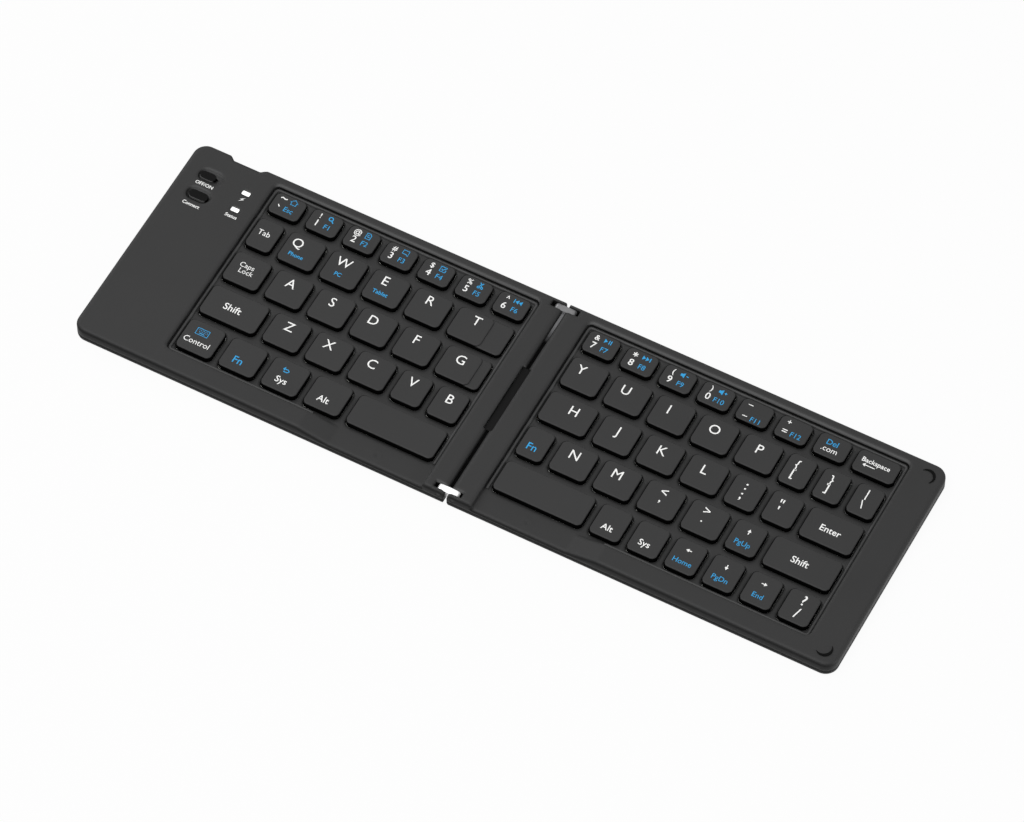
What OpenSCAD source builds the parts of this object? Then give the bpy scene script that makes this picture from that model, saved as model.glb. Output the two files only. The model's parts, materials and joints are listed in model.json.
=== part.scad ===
// Folding keyboard, lying open and flat. Two half shells are joined by a pair of short steel links, so the
// right half swings up and over the left one and the keys end up inside.
// Origin: on the fold line, midway front to rear, on the surface that the feet stand on.
// +X runs to the right half, +Y to the rear, +Z up. Millimetres.

/* [Shells] */
// Length of each half, from the fold line to its outer end
half_length = 151; // [150.5:0.5:180]
// Depth of the keyboard, front to rear
body_depth = 92.4; // [92:0.2:110]
// Height of the shells, underside to rim
shell_height = 6.2; // [6.1:0.1:7.5]
// Radius of the four outer corners, seen from above
corner_radius = 5; // [3:0.5:7]
// Radius of the upper outer edges
edge_radius = 1.2; // [0.4:0.1:1.8]
// Radius of the lower outer edges
base_edge_radius = 0.8; // [0.3:0.1:1.4]
// Height of the seam between upper and lower shells, above their underside
seam_height = 2.4; // [2.2:0.1:2.6]
// Height and depth of the groove that marks the seam
seam_groove = 0.2; // [0.1:0.05:0.3]
// Thickness of the outer walls
wall = 1.2; // [0.9:0.1:1.8]
// Thickness of the roof over the end compartments
roof = 1.0; // [0.8:0.1:1.4]
// Thickness of the lower shells' floor
floor_skin = 0.8; // [0.7:0.1:1.0]

/* [Key wells] */
// Depth of the wells below the rim
well_depth = 2.4; // [2.0:0.1:2.6]
// Thickness of the grid between the keys
grid_skin = 0.8; // [0.6:0.1:1.0]
// Space between the outermost keys and the well wall
well_margin = 2.3; // [1.6:0.1:2.8]
// Corner radius of the wells
well_corner = 2; // [1.2:0.1:3]
// Rounding of the rim where it falls into a well
lip_radius = 0.8; // [0.4:0.1:1.2]
// Width of the rim behind the wells
rear_rim = 3.7; // [3.6:0.1:5]
// Width of the left hinge strip, from the fold line to the well
left_strip = 9.1; // [8.6:0.1:11]
// Width of the right hinge strip, from the fold line to the well
right_strip = 10.1; // [8.6:0.1:11]
// Distance from the fold line at which the low front rim starts to rise
low_rim_end = 47; // [40:1:60]
// Length over which the front rim rises to full height
low_rim_ramp = 12.4; // [8:0.2:20]

/* [Keys] */
// Gap between neighbouring keycaps in a row
key_gap = 2.95; // [2.4:0.05:3.2]
// Gap between rows of keycaps
row_gap = 3.4; // [3:0.1:3.7]
// Depth of a keycap, front to rear
key_depth = 13.2; // [12.6:0.1:13.5]
// Depth of a keycap in the number row
number_key_depth = 9.3; // [9:0.1:10.5]
// Width of a keycap in the number row
number_key = 12.3; // [12.3:0.1:12.6]
// Width of a letter keycap
letter_key = 14.3; // [13.8:0.1:14.3]
// Width of the narrow arrow and punctuation keycaps
small_key = 11.7; // [11.2:0.1:12.2]
// Width of the bracket keycaps and of the right Fn keycap
bracket_key = 10.3; // [10.1:0.1:10.3]
// Width of the tab keycap
tab_key = 10.1; // [10.1:0.1:11]
// Width of the backspace keycap
backspace_key = 16.2; // [16.2:0.1:17.5]
// Width of the H keycap
h_key = 18.7; // [14.3:0.1:20]
// Width of the full-height part of the stepped T and G keycaps
stepped_key = 13.8; // [12:0.1:15]
// Drop of the low part of the stepped keycaps
step_drop = 0.5; // [0.3:0.1:0.8]
// Height of the keycaps above the grid
key_rise = 2.1; // [1.7:0.1:2.3]
// Travel of a key
key_travel = 1.5; // [1:0.1:1.7]
// Space under the skirt of a keycap that is pressed right down
skirt_clearance = 0.45; // [0.3:0.05:0.7]
// Corner radius of the keycaps
key_corner = 2; // [1.4:0.1:2.4]
// Rounding of the keycaps' top edges
key_edge = 0.4; // [0.2:0.05:0.6]
// Thickness of the keycaps' top
key_roof = 1.0; // [0.8:0.1:1.2]
// Thickness of the keycaps' skirts
key_skirt = 0.9; // [0.7:0.1:1.1]
// Clearance between a keycap and its opening in the grid
key_clearance = 0.35; // [0.2:0.05:0.5]

/* [Key mechanism] */
// Thickness of the steel key plates
plate_thickness = 0.3; // [0.2:0.05:0.4]
// Thickness of the contact membranes
membrane_thickness = 0.25; // [0.15:0.05:0.35]
// Radius of a rubber dome at its foot
dome_radius = 2.1; // [1.6:0.1:2.2]
// Radius of a rubber dome at its top
dome_top_radius = 1.3; // [0.9:0.1:1.6]
// Width of the bars of the scissor frames
scissor_bar = 0.8; // [0.6:0.1:0.9]
// Thickness of the scissor frames
scissor_thickness = 0.6; // [0.5:0.05:0.7]
// Side clearance between the two frames of a scissor
scissor_clearance = 0.2; // [0.15:0.05:0.3]

/* [Hinge] */
// Distance between the two fold axes
axis_spacing = 5.8; // [5.8:0.1:7]
// Distance of the fold axes below the rim
pivot_drop = 2.0; // [1.9:0.05:2.05]
// Gap between the end faces of the halves
fold_gap = 1.2; // [1.1:0.05:1.4]
// Radius of the upper edges at the fold
fold_top_radius = 1.8; // [1.75:0.05:2]
// Radius of the lower edges at the fold
fold_base_radius = 1.8; // [1:0.1:2]
// Thickness of the end walls at the fold
end_wall = 1.15; // [1:0.05:1.4]
// Radius of the rounded ends of the links
link_radius = 1.35; // [1.1:0.05:1.4]
// Thickness of the links along the fold
link_thickness = 2.4; // [1.8:0.1:2.8]
// Distance of the links' middles from the front and rear edges
link_inset = 2.7; // [2.6:0.1:3.4]
// Clearance between a link and the sides and floor of its slot
link_clearance = 0.1; // [0.05:0.05:0.2]
// Distance that a link slot reaches from the fold line
slot_reach = 5.6; // [4.6:0.1:7]
// Radius of the hinge pins
pin_radius = 0.6; // [0.4:0.05:0.8]
// Running clearance of the links on the pins
pin_clearance = 0.05; // [0.03:0.01:0.1]
// Seating clearance of the pins in the shells
pin_seat = 0.02; // [0.01:0.01:0.04]
// Wall that holds a pin on the inner side of a link slot
knuckle_wall = 1.3; // [1:0.1:2]
// Length of the solid blocks around the link slots, from the fold line
knuckle_length = 7.6; // [7:0.1:8.4]
// Thickness of the spine bar between the links
spine_thickness = 1.0; // [0.7:0.05:1]
// Height of the spine bar below the fold axes
spine_below = 2.2; // [1:0.1:2.2]
// Height of the spine bar above the fold axes
spine_above = 0.4; // [0.2:0.1:0.6]
// Length of the soft cover strip in the middle of the fold
cover_length = 29.6; // [20:0.2:36]
// Thickness of the soft cover strip
cover_thickness = 0.5; // [0.3:0.1:0.8]
// Clearance around the cover strip
cover_clearance = 0.1; // [0.05:0.05:0.3]
// Height of the lower shells' end walls under the flat cable, above the shells' underside
cable_sill = 1.1; // [1:0.05:1.2]
// Width of the flat cable that joins the halves
cable_width = 18; // [10:1:24]
// Thickness of the flat cable
cable_thickness = 0.2; // [0.12:0.02:0.3]
// Distance that the flat cable lies on each membrane
cable_overlap = 1.6; // [1:0.1:2]

/* [Switches and lights] */
// Distance of the power switch from the outer end
switch_inset = 11.25; // [11.25:0.05:12.5]
// Distance of the power switch from the rear edge
switch_from_rear = 12.35; // [12:0.05:13]
// Distance between the power switch and the connect button
switch_pitch = 9.0; // [8.4:0.1:10]
// Length of the oval recesses
recess_length = 9.7; // [9.4:0.1:10.4]
// Width of the oval recesses
recess_width = 5.9; // [5.2:0.1:6.2]
// Depth of the oval recesses
recess_depth = 1.0; // [0.7:0.1:1.1]
// Thickness of the recess floors
recess_floor = 0.9; // [0.7:0.1:0.9]
// Length of the power switch knob
knob_length = 6.2; // [5:0.1:6.6]
// Width of the power switch knob
knob_width = 3.3; // [2.6:0.1:3.8]
// Travel of the power switch knob
knob_travel = 2.4; // [1.6:0.1:2.4]
// Depth of the knob and button tops below the rim
button_sink = 0.15; // [0.05:0.05:0.3]
// Length of the connect button
button_length = 7.6; // [6.6:0.1:8]
// Width of the connect button
button_width = 3.5; // [2.8:0.1:3.8]
// Width of the flange that keeps the connect button in its hole
button_flange = 0.7; // [0.5:0.05:0.9]
// Travel of the connect button
button_travel = 0.3; // [0.2:0.05:0.3]
// Clearance of the button and of the knob stem in their openings
button_clearance = 0.2; // [0.1:0.05:0.3]
// Distance of the indicator lights from the outer end
light_inset = 26.15; // [25.5:0.05:27]
// Distance of the charge light from the rear edge
light_from_rear = 12.75; // [12:0.05:14]
// Distance between the two lights
light_pitch = 8.1; // [7:0.1:9]
// Length of an indicator lens
lens_length = 3.1; // [2.4:0.1:3.6]
// Width of an indicator lens
lens_width = 1.7; // [1.3:0.1:2]
// Corner radius of an indicator lens
lens_corner = 0.4; // [0.2:0.05:0.6]
// Clearance of a lens in its window
lens_clearance = 0.05; // [0.02:0.01:0.1]

/* [Charging port and power] */
// Distance of the charging port from the outer end
port_inset = 20.6; // [20:0.1:22]
// Width of the rear notch at the rear edge
notch_width = 16.1; // [14:0.1:18]
// Width of the rear notch at its floor
notch_floor_width = 10.8; // [10:0.1:12]
// Depth of the rear notch
notch_depth = 2.1; // [1.5:0.1:2.4]
// Wall behind the rear notch
notch_wall = 1.4; // [1.2:0.1:2]
// Width of the charging port's metal shell
port_width = 8.9; // [8:0.1:9.2]
// Height of the charging port's metal shell
port_height = 3.2; // [2.6:0.1:3.3]
// Length of the charging port's metal shell
port_length = 7.3; // [6:0.1:8]
// Thickness of the charging port's metal shell
port_skin = 0.3; // [0.2:0.05:0.4]
// Clearance around the charging port
port_clearance = 0.15; // [0.1:0.05:0.2]
// Thickness of the main circuit board
board_thickness = 0.8; // [0.6:0.1:1]
// Front to rear length of the main circuit board
board_length = 28.2; // [27:0.1:29]
// Room left on each side of the battery cell, towards the end and the key well
battery_room = 3.25; // [2.5:0.25:6]
// Length of the battery cell, front to rear
battery_length = 32; // [24:0.5:33]
// Height of the battery cell
battery_height = 3.6; // [3:0.1:3.8]
// Distance of the battery's middle in front of the centre line
battery_forward = 11; // [10:0.5:12]
// Depth of the protection strip on the battery, front to rear
strip_depth = 3; // [2:0.1:3.5]
// Thickness of the protection strip on the battery
strip_thickness = 1.4; // [1:0.1:1.8]
// Radius of the battery leads
lead_radius = 0.4; // [0.3:0.05:0.5]
// Distance between the battery leads
lead_pitch = 4; // [2:0.5:8]
// Radius of the closing magnets
magnet_radius = 3; // [2:0.1:3.2]
// Thickness of the closing magnets
magnet_thickness = 1.6; // [1:0.1:1.9]
// Distance of the magnets from the outer ends
magnet_inset = 6.8; // [6:0.1:7]
// Distance of the rear magnets behind the centre line
rear_magnet = 9.5; // [9.5:0.1:10]

/* [Screws, feet and bumpers] */
// Radius of the screw shafts
screw_radius = 0.7; // [0.5:0.05:0.8]
// Radius of the screw heads
screw_head_radius = 1.4; // [1.1:0.05:1.5]
// Thickness of the screw heads
screw_head = 0.7; // [0.5:0.05:0.75]
// Length of the screws below the head
screw_length = 2.5; // [2:0.1:2.6]
// Clearance of the screws in the lower shells
screw_clearance = 0.15; // [0.05:0.05:0.2]
// Seating clearance of the screw threads
thread_seat = 0.02; // [0.01:0.01:0.04]
// Radius of the screw posts
post_radius = 2.1; // [2:0.05:2.4]
// Space between the screw posts and the outer walls
post_gap = 1.3; // [0.8:0.1:1.5]
// Distance of the inner front screws from the fold line
inner_screw = 30; // [26:1:60]
// Distance of the outer front screws from the outer ends
outer_screw = 51; // [30:1:60]
// Distance of the hinge strip screws from the centre line
strip_screw = 30; // [18:1:36]
// Length of the rubber feet
foot_length = 14; // [8:0.5:20]
// Width of the rubber feet
foot_width = 4; // [3:0.1:5]
// Height of the shells above the surface that the feet stand on
foot_height = 0.6; // [0.4:0.1:1.2]
// Depth to which the feet sit in the lower shells
foot_seat = 0.4; // [0.2:0.1:0.5]
// Distance of the feet from the outer ends, the fold line and the front and rear edges
foot_inset = 8.2; // [7.5:0.1:10]
// Radius of the crescent bumpers
bumper_radius = 2.9; // [2.4:0.1:4]
// Thickness of the crescent bumpers at their middle
bumper_width = 1; // [0.6:0.1:1.4]
// Height of the crescent bumpers above the rim
bumper_rise = 0.35; // [0.2:0.05:0.6]
// Distance of the bumper arcs' centres from the outer end and from the front and rear edges
bumper_inset = 6.1; // [5:0.1:8]

/* [Hidden] */
$fn = 48;
// Sides of the halves
LEFT = -1;
RIGHT = 1;
// Overrun of a cut past the face it leaves by
cut = 1;
// Distance by which the round of the low rim cuts into the faces that it joins, so that it meets them squarely
edge_bite = 0.02;

// Heights
top_z = foot_height + shell_height;
seam_z = foot_height + seam_height;
floor_z = foot_height + floor_skin;
grid_z = top_z - well_depth;
ceiling_z = grid_z - grid_skin;
roof_z = top_z - roof;
pivot_z = top_z - pivot_drop;
plate_z = floor_z + plate_thickness;
membrane_z = plate_z + membrane_thickness;
key_z = grid_z + key_rise;
skirt_z = membrane_z + key_travel + skirt_clearance;
key_ceiling_z = key_z - key_roof;
recess_z = top_z - recess_depth;
cup_z = recess_z - recess_floor;
// Play between flat faces that slide past or rest beside each other
play = 0.05;

// Key rows from rear to front, as keycap widths from left to right. FILL takes what is left of the row.
FILL = 0;
left_rows = [
    [for (i = [1:7]) number_key],
    [tab_key, letter_key, letter_key, letter_key, letter_key, FILL],
    [letter_key, letter_key, letter_key, letter_key, letter_key, FILL],
    [FILL, letter_key, letter_key, letter_key, small_key, small_key],
    [letter_key, letter_key, letter_key, letter_key, FILL]
];
right_rows = [
    [number_key, number_key, number_key, number_key, number_key, number_key, number_key, FILL],
    [letter_key, letter_key, letter_key, letter_key, letter_key, bracket_key, bracket_key, FILL],
    [h_key, letter_key, letter_key, letter_key, small_key, small_key, FILL],
    [bracket_key, letter_key, letter_key, letter_key, letter_key, small_key, FILL],
    [FILL, small_key, small_key, small_key, small_key, small_key, small_key]
];
left_field = 7 * number_key + 6 * key_gap;
right_field = 7 * (number_key + key_gap) + backspace_key;
field_depth = number_key_depth + 4 * (row_gap + key_depth);

// One keycap node is a run of neighbouring keys: name, side, row, first key, number of keys
KEY_NODES = [
    ["escape_key", LEFT, 0, 0, 1],
    ["left_number_keys", LEFT, 0, 1, 6],
    ["tab_key", LEFT, 1, 0, 1],
    ["left_upper_letter_keys", LEFT, 1, 1, 4],
    ["stepped_t_key", LEFT, 1, 5, 1],
    ["caps_lock_key", LEFT, 2, 0, 1],
    ["left_home_letter_keys", LEFT, 2, 1, 4],
    ["stepped_g_key", LEFT, 2, 5, 1],
    ["left_shift_key", LEFT, 3, 0, 1],
    ["left_lower_letter_keys", LEFT, 3, 1, 5],
    ["control_key", LEFT, 4, 0, 1],
    ["left_modifier_keys", LEFT, 4, 1, 3],
    ["left_space_key", LEFT, 4, 4, 1],
    ["right_number_keys", RIGHT, 0, 0, 6],
    ["delete_key", RIGHT, 0, 6, 1],
    ["backspace_key", RIGHT, 0, 7, 1],
    ["right_upper_letter_keys", RIGHT, 1, 0, 5],
    ["bracket_keys", RIGHT, 1, 5, 3],
    ["right_home_letter_keys", RIGHT, 2, 0, 4],
    ["punctuation_keys", RIGHT, 2, 4, 2],
    ["enter_key", RIGHT, 2, 6, 1],
    ["right_fn_key", RIGHT, 3, 0, 1],
    ["right_lower_letter_keys", RIGHT, 3, 1, 4],
    ["up_arrow_key", RIGHT, 3, 5, 1],
    ["right_shift_key", RIGHT, 3, 6, 1],
    ["right_space_key", RIGHT, 4, 0, 1],
    ["right_modifier_keys", RIGHT, 4, 1, 2],
    ["arrow_keys", RIGHT, 4, 3, 3],
    ["slash_key", RIGHT, 4, 6, 1]
];

// Sizes that depend on the side
function rows(side) = side == LEFT ? left_rows : right_rows;
function strip(side) = side == LEFT ? left_strip : right_strip;
function field(side) = side == LEFT ? left_field : right_field;
function well_length(side) = field(side) + 2 * well_margin;
function well_end(side) = strip(side) + well_length(side);
function field_left(side) = side * (strip(side) + well_margin) - (side == LEFT ? field(side) : 0);

// Key rows
field_rear = body_depth / 2 - rear_rim - well_margin;
well_rear = body_depth / 2 - rear_rim;
well_front = field_rear - field_depth - well_margin;
function row_depth(row) = row == 0 ? number_key_depth : key_depth;
function rows_before(row) = row == 0 ? 0 : number_key_depth + row_gap + (row - 1) * (key_depth + row_gap);
function row_middle(row) = field_rear - rows_before(row) - row_depth(row) / 2;
function total(list, n) = n == 0 ? 0 : list[n - 1] + total(list, n - 1);
function widths(side, row) =
    let (list = rows(side)[row], spare = field(side) - total(list, len(list)) - (len(list) - 1) * key_gap)
    [for (w = list) w == FILL ? spare : w];
function key_left(side, row, i) = field_left(side) + total(widths(side, row), i) + i * key_gap;
function is_stepped(side, row, i) = side == LEFT && (row == 1 || row == 2) && i == 5;
// Width that a key's mechanism is centred under
function acting_width(side, row, i) = is_stepped(side, row, i) ? stepped_key : widths(side, row)[i];
function key_middle(side, row, i) = key_left(side, row, i) + acting_width(side, row, i) / 2;

// Scissors under the keys
scissor_width = 2 * dome_radius + 4 * scissor_bar + 4 * scissor_clearance;
// Room that a scissor leaves free above, below, in front and behind
scissor_room = 0.2;

// Hinge
link_offset = body_depth / 2 - link_inset;
link_inner = link_offset - link_thickness / 2;
pin_inner = link_inner - link_clearance - knuckle_wall;
pin_length = body_depth / 2 - pin_inner;
pin_middle = pin_inner + pin_length / 2;
notch_reach = fold_gap / 2 + end_wall;

// Switch, button and lights
switch_x = -half_length + switch_inset;
switch_y = body_depth / 2 - switch_from_rear;
button_y = switch_y - switch_pitch;
light_x = -half_length + light_inset;
light_y = body_depth / 2 - light_from_rear;
// The knob stands at the outer end of its recess
knob_x = switch_x - recess_length / 2 + knob_length / 2 + (recess_width - knob_width) / 4;
stem_length = 2.8;
stem_width = 1.5;
flange_thickness = 0.45;
flange_z = cup_z - play - flange_thickness;

// Charging port
port_x = -half_length + port_inset;
port_y = body_depth / 2 - notch_depth;
port_z = foot_height + shell_height / 2;
tongue = [6.6, 0.7];
tongue_depth = 0.8;

// Screws: one in each outer corner, two along the front rim and two in the hinge strip
post_inset = wall + post_gap + post_radius;
function screw_points(side) = concat(
    [for (y = [-1, 1]) [side * (half_length - post_inset), y * (body_depth / 2 - post_inset)]],
    [for (x = [inner_screw, half_length - outer_screw]) [side * x, -body_depth / 2 + post_inset]],
    [for (y = [-1, 1]) [side * (notch_reach + strip_post_gap + post_radius), y * strip_screw]]
);
strip_post_gap = 1.8;
drive_slot = 0.32;
drive_depth = 0.4;

// Main board, its posts and what stands on it
board_gap = 0.4;
port_stand_off = 0.2;
board_x0 = -half_length + post_inset + post_radius + board_gap;
board_x1 = -well_end(LEFT) - 2 * wall;
board_rear = port_y - notch_wall - board_gap;
board_front = board_rear - board_length;
board_z = port_z - port_stand_off - board_thickness;
board_top_z = board_z + board_thickness;
board_post = 1.5;
board_post_inset = 2;
slide_switch = [7, 3];
push_switch = [3.6, 3];
light_source = [1.6, 0.8, 0.5];
chip = [5, 5, 0.8];
crystal = [2.5, 2, 0.6];
tail_width = 10;
tail_overlap = 3;
tail_root = 1;
membrane_margin = 0.3;

// Battery
battery_x = -(half_length + well_end(LEFT)) / 2;
battery_width = half_length - well_end(LEFT) - 2 * battery_room;
battery_rear = battery_length / 2 - battery_forward;
battery_corner = 1.4;
battery_edge = 0.6;
strip_inset = 2;
strip_lift = 1;
strip_z = floor_z + strip_lift;
lead_z = board_top_z + lead_radius + play;
lead_overlap = 2;

// The front magnets lie midway between the battery and the front corner posts
front_magnet = (battery_forward + battery_length / 2 + body_depth / 2 - post_inset) / 2;

// Feet, two along each long edge of a half
function foot_points(side) = [
    for (x = [foot_inset + foot_length / 2, half_length - foot_inset - foot_length / 2], y = [-1, 1])
        [side * x, y * (body_depth / 2 - foot_inset)]
];

// ---------------------------------------------------------------- shared shapes

module rounded_rect(size, r) {
    square([size[0] - 2 * r, size[1]], center = true);
    square([size[0], size[1] - 2 * r], center = true);
    for (x = [-1, 1], y = [-1, 1])
        translate([x * (size[0] / 2 - r), y * (size[1] / 2 - r)]) circle(r);
}

module oval(length, width) {
    square([length - width, width], center = true);
    for (x = [-1, 1]) translate([x * (length - width) / 2, 0]) circle(width / 2);
}

// Section through the rim of a slab: reach outwards, with rounded upper and lower edges
module rim_section(reach, height, upper, lower) {
    difference() {
        square([reach, height]);
        translate([reach - upper, height - upper]) edge_waste(upper);
        if (lower > 0) translate([reach - lower, lower]) mirror([0, 1]) edge_waste(lower);
    }
}

// What rounding a square edge takes away, measured from the centre of the round
module edge_waste(r) {
    difference() {
        square(r + cut);
        circle(r);
    }
}

// A slab with round corners and rounded edges, centred in X and Y and standing on z = 0
module soft_slab(size, height, corner, upper, lower = 0) {
    run = [size[0] - 2 * corner, size[1] - 2 * corner];
    translate([-run[0] / 2, -run[1] / 2, 0]) cube([run[0], run[1], height]);
    for (turn = [0:3]) {
        along = turn % 2 == 0 ? run : [run[1], run[0]];
        rotate(turn * 90) {
            translate([along[0] / 2, 0, 0]) rotate([90, 0, 0])
                linear_extrude(along[1], center = true) rim_section(corner, height, upper, lower);
            translate([along[0] / 2, along[1] / 2, 0])
                rotate_extrude(angle = 90) rim_section(corner, height, upper, lower);
        }
    }
}

// A well cut from above whose upper edge is flared by a round lip. Its floor is at z = 0.
module flared_well(size, depth, corner, lip) {
    run = [size[0] - 2 * corner, size[1] - 2 * corner];
    linear_extrude(depth + cut) rounded_rect(size, corner);
    for (turn = [0:3]) {
        along = turn % 2 == 0 ? run : [run[1], run[0]];
        rotate(turn * 90) {
            translate([along[0] / 2, 0, 0]) rotate([90, 0, 0])
                linear_extrude(along[1], center = true) lip_section(corner, depth, lip);
            translate([along[0] / 2, along[1] / 2, 0])
                rotate_extrude(angle = 90) lip_section(corner, depth, lip);
        }
    }
}

module lip_section(corner, depth, lip) {
    translate([corner, depth - lip]) lip_waste(lip);
}

// What rounding the upper edge of a wall takes away, with the wall's face at x = 0
module lip_waste(r) {
    difference() {
        square([r, r + cut]);
        translate([r, 0]) circle(r);
    }
}

// ---------------------------------------------------------------- shells

// Side view of a half at the fold, where it stops at the gap with rounded edges
module half_side(side) {
    near = fold_gap / 2;
    scale([side, 1]) difference() {
        translate([near, -cut]) square([half_length, top_z + 2 * cut]);
        translate([near + fold_top_radius, top_z - fold_top_radius])
            mirror([1, 0]) edge_waste(fold_top_radius);
        translate([near + fold_base_radius, foot_height + fold_base_radius])
            mirror([1, 0]) mirror([0, 1]) edge_waste(fold_base_radius);
    }
}

module half_block(side) {
    intersection() {
        translate([0, 0, foot_height]) soft_slab(
            [2 * half_length, body_depth], shell_height, corner_radius, edge_radius, base_edge_radius);
        rotate([90, 0, 0]) linear_extrude(body_depth + 2 * cut, center = true) half_side(side);
    }
}

// Plan of the room inside a half's walls
module inner_plan(side) {
    intersection() {
        rounded_rect([2 * (half_length - wall), body_depth - 2 * wall], corner_radius - wall);
        scale([side, 1]) translate([notch_reach, -body_depth / 2]) square([half_length, body_depth]);
    }
}

// Solid blocks that the inside leaves standing, in plan: the knuckles and the wall of the port notch
module inner_blocks(side) {
    for (y = [-1, 1]) scale([side, y]) translate([0, pin_inner]) square([knuckle_length, body_depth]);
    if (side == LEFT) translate([port_x - notch_width / 2 - notch_wall, port_y - notch_wall])
        square([notch_width + 2 * notch_wall, body_depth]);
}

module end_compartment_plan(side) {
    intersection() {
        inner_plan(side);
        scale([side, 1]) translate([well_end(side) + wall, -body_depth / 2])
            square([half_length, body_depth]);
    }
}

module screw_posts(side, z0, z1) {
    for (p = screw_points(side)) translate([p[0], p[1], z0]) cylinder(r = post_radius, h = z1 - z0);
}

// Low front rim: the well floor runs out to the front, then ramps up to the full rim
module low_front_cut(side) {
    rear = well_front + well_corner;
    length = body_depth / 2 + cut + rear;
    rise = well_depth + cut;
    ramp_end = low_rim_end + low_rim_ramp * rise / well_depth;
    rotate([90, 0, 0]) translate([0, grid_z, -rear]) linear_extrude(length)
        scale([side, 1]) polygon([[strip(side), 0], [low_rim_end, 0], [ramp_end, rise], [strip(side), rise]]);
    // Rounded upper edge of the hinge strip beside the low rim
    rotate([90, 0, 0]) translate([side * strip(side), top_z - lip_radius, -rear]) linear_extrude(length)
        scale([-side, 1]) lip_waste(lip_radius);
    // Rounded front edge of the low rim and of its ramp
    slope = atan(well_depth / low_rim_ramp);
    inset = edge_radius - edge_bite;
    translate([0, -body_depth / 2 + inset, grid_z - inset]) scale([side, 1, 1]) {
        translate([strip(side), 0, 0]) front_edge_waste(low_rim_end - strip(side));
        translate([low_rim_end, 0, 0]) rotate([0, -slope, 0]) front_edge_waste(low_rim_ramp / cos(slope) + cut);
    }
}

module front_edge_waste(length) {
    rotate([90, 0, 90]) linear_extrude(length) mirror([1, 0]) edge_waste(edge_radius);
}

module key_openings(side) {
    grow = 2 * key_clearance;
    for (row = [0:4], i = [0:len(rows(side)[row]) - 1]) {
        w = widths(side, row)[i];
        translate([key_left(side, row, i) + w / 2, row_middle(row), ceiling_z - cut])
            linear_extrude(grid_skin + 2 * cut)
                rounded_rect([w + grow, row_depth(row) + grow], key_corner + key_clearance);
    }
}

// Slots for the links, open at the top, with the bores that seat the hinge pins
module hinge_cuts(side) {
    slot_floor = pivot_z - link_radius - link_clearance;
    for (y = [-1, 1]) {
        scale([side, y, 1]) translate([0, link_inner - link_clearance, slot_floor])
            cube([slot_reach, link_thickness + 2 * link_clearance, top_z]);
        translate([side * axis_spacing / 2, y * pin_middle, pivot_z]) rotate([90, 0, 0])
            cylinder(r = pin_radius + pin_seat, h = pin_length + 2 * pin_seat, center = true);
    }
}

// Opening at the middle of the fold that the cover strip fills and the flat cable passes through
module cover_notch() {
    translate([-notch_reach, -cover_length / 2 - cover_clearance, foot_height + cable_sill])
        cube([2 * notch_reach, cover_length + 2 * cover_clearance, top_z]);
}

module seam_line() {
    translate([0, 0, seam_z - seam_groove]) linear_extrude(seam_groove + cut) difference() {
        square([2 * (half_length + cut), body_depth + 2 * cut], center = true);
        rounded_rect([2 * (half_length - seam_groove), body_depth - 2 * seam_groove],
                     corner_radius - seam_groove);
    }
}

module port_cut() {
    // Notch in the rear edge
    translate([port_x, 0, -cut]) linear_extrude(top_z + 2 * cut) polygon([
        [-notch_floor_width / 2, port_y], [notch_floor_width / 2, port_y],
        [notch_width / 2, body_depth / 2], [notch_width / 2, body_depth / 2 + cut],
        [-notch_width / 2, body_depth / 2 + cut], [-notch_width / 2, body_depth / 2]
    ]);
    // Hole for the metal shell
    translate([port_x, port_y, port_z]) rotate([90, 0, 0])
        linear_extrude(2 * (notch_wall + cut), center = true)
            oval(port_width + 2 * port_clearance, port_height + 2 * port_clearance);
}

module upper_case(side) {
    difference() {
        intersection() {
            half_block(side);
            translate([-half_length, -body_depth / 2, seam_z])
                cube([2 * half_length, body_depth, shell_height]);
        }
        translate([side * (strip(side) + well_length(side) / 2), (well_rear + well_front) / 2, grid_z])
            flared_well([well_length(side), well_rear - well_front], well_depth, well_corner, lip_radius);
        low_front_cut(side);
        difference() {
            union() {
                translate([0, 0, seam_z - cut]) linear_extrude(ceiling_z - seam_z + cut) difference() {
                    inner_plan(side);
                    inner_blocks(side);
                }
                translate([0, 0, seam_z - cut]) linear_extrude(roof_z - seam_z + cut) difference() {
                    end_compartment_plan(side);
                    inner_blocks(side);
                }
            }
            screw_posts(side, seam_z - 2 * cut, top_z);
            if (side == LEFT) switch_cups();
        }
        key_openings(side);
        hinge_cuts(side);
        cover_notch();
        for (p = screw_points(side)) translate([p[0], p[1], seam_z - cut])
            cylinder(r = screw_radius + thread_seat, h = floor_z + screw_length + thread_seat - seam_z + cut);
        if (side == LEFT) {
            port_cut();
            switch_cuts();
        }
    }
}

// Material around the oval recesses, left standing in the end compartment
module switch_cups() {
    for (y = [switch_y, button_y]) translate([switch_x, y, cup_z])
        linear_extrude(shell_height) oval(recess_length + 2 * roof, recess_width + 2 * roof);
}

module switch_cuts() {
    // Oval recesses
    for (y = [switch_y, button_y]) translate([switch_x, y, recess_z])
        linear_extrude(recess_depth + cut) oval(recess_length, recess_width);
    // Slot for the knob's stem
    translate([knob_x + knob_travel / 2, switch_y, cup_z - cut]) linear_extrude(recess_floor + 2 * cut)
        oval(stem_length + knob_travel + 2 * button_clearance, stem_width + 2 * button_clearance);
    // Hole for the connect button
    translate([switch_x, button_y, cup_z - cut]) linear_extrude(recess_floor + 2 * cut)
        oval(button_length + 2 * button_clearance, button_width + 2 * button_clearance);
    // Windows for the lights
    for (i = [0, 1]) translate([light_x, light_y - i * light_pitch, roof_z - cut])
        linear_extrude(roof + 2 * cut) rounded_rect(
            [lens_length + 2 * lens_clearance, lens_width + 2 * lens_clearance], lens_corner + lens_clearance);
}

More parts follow.
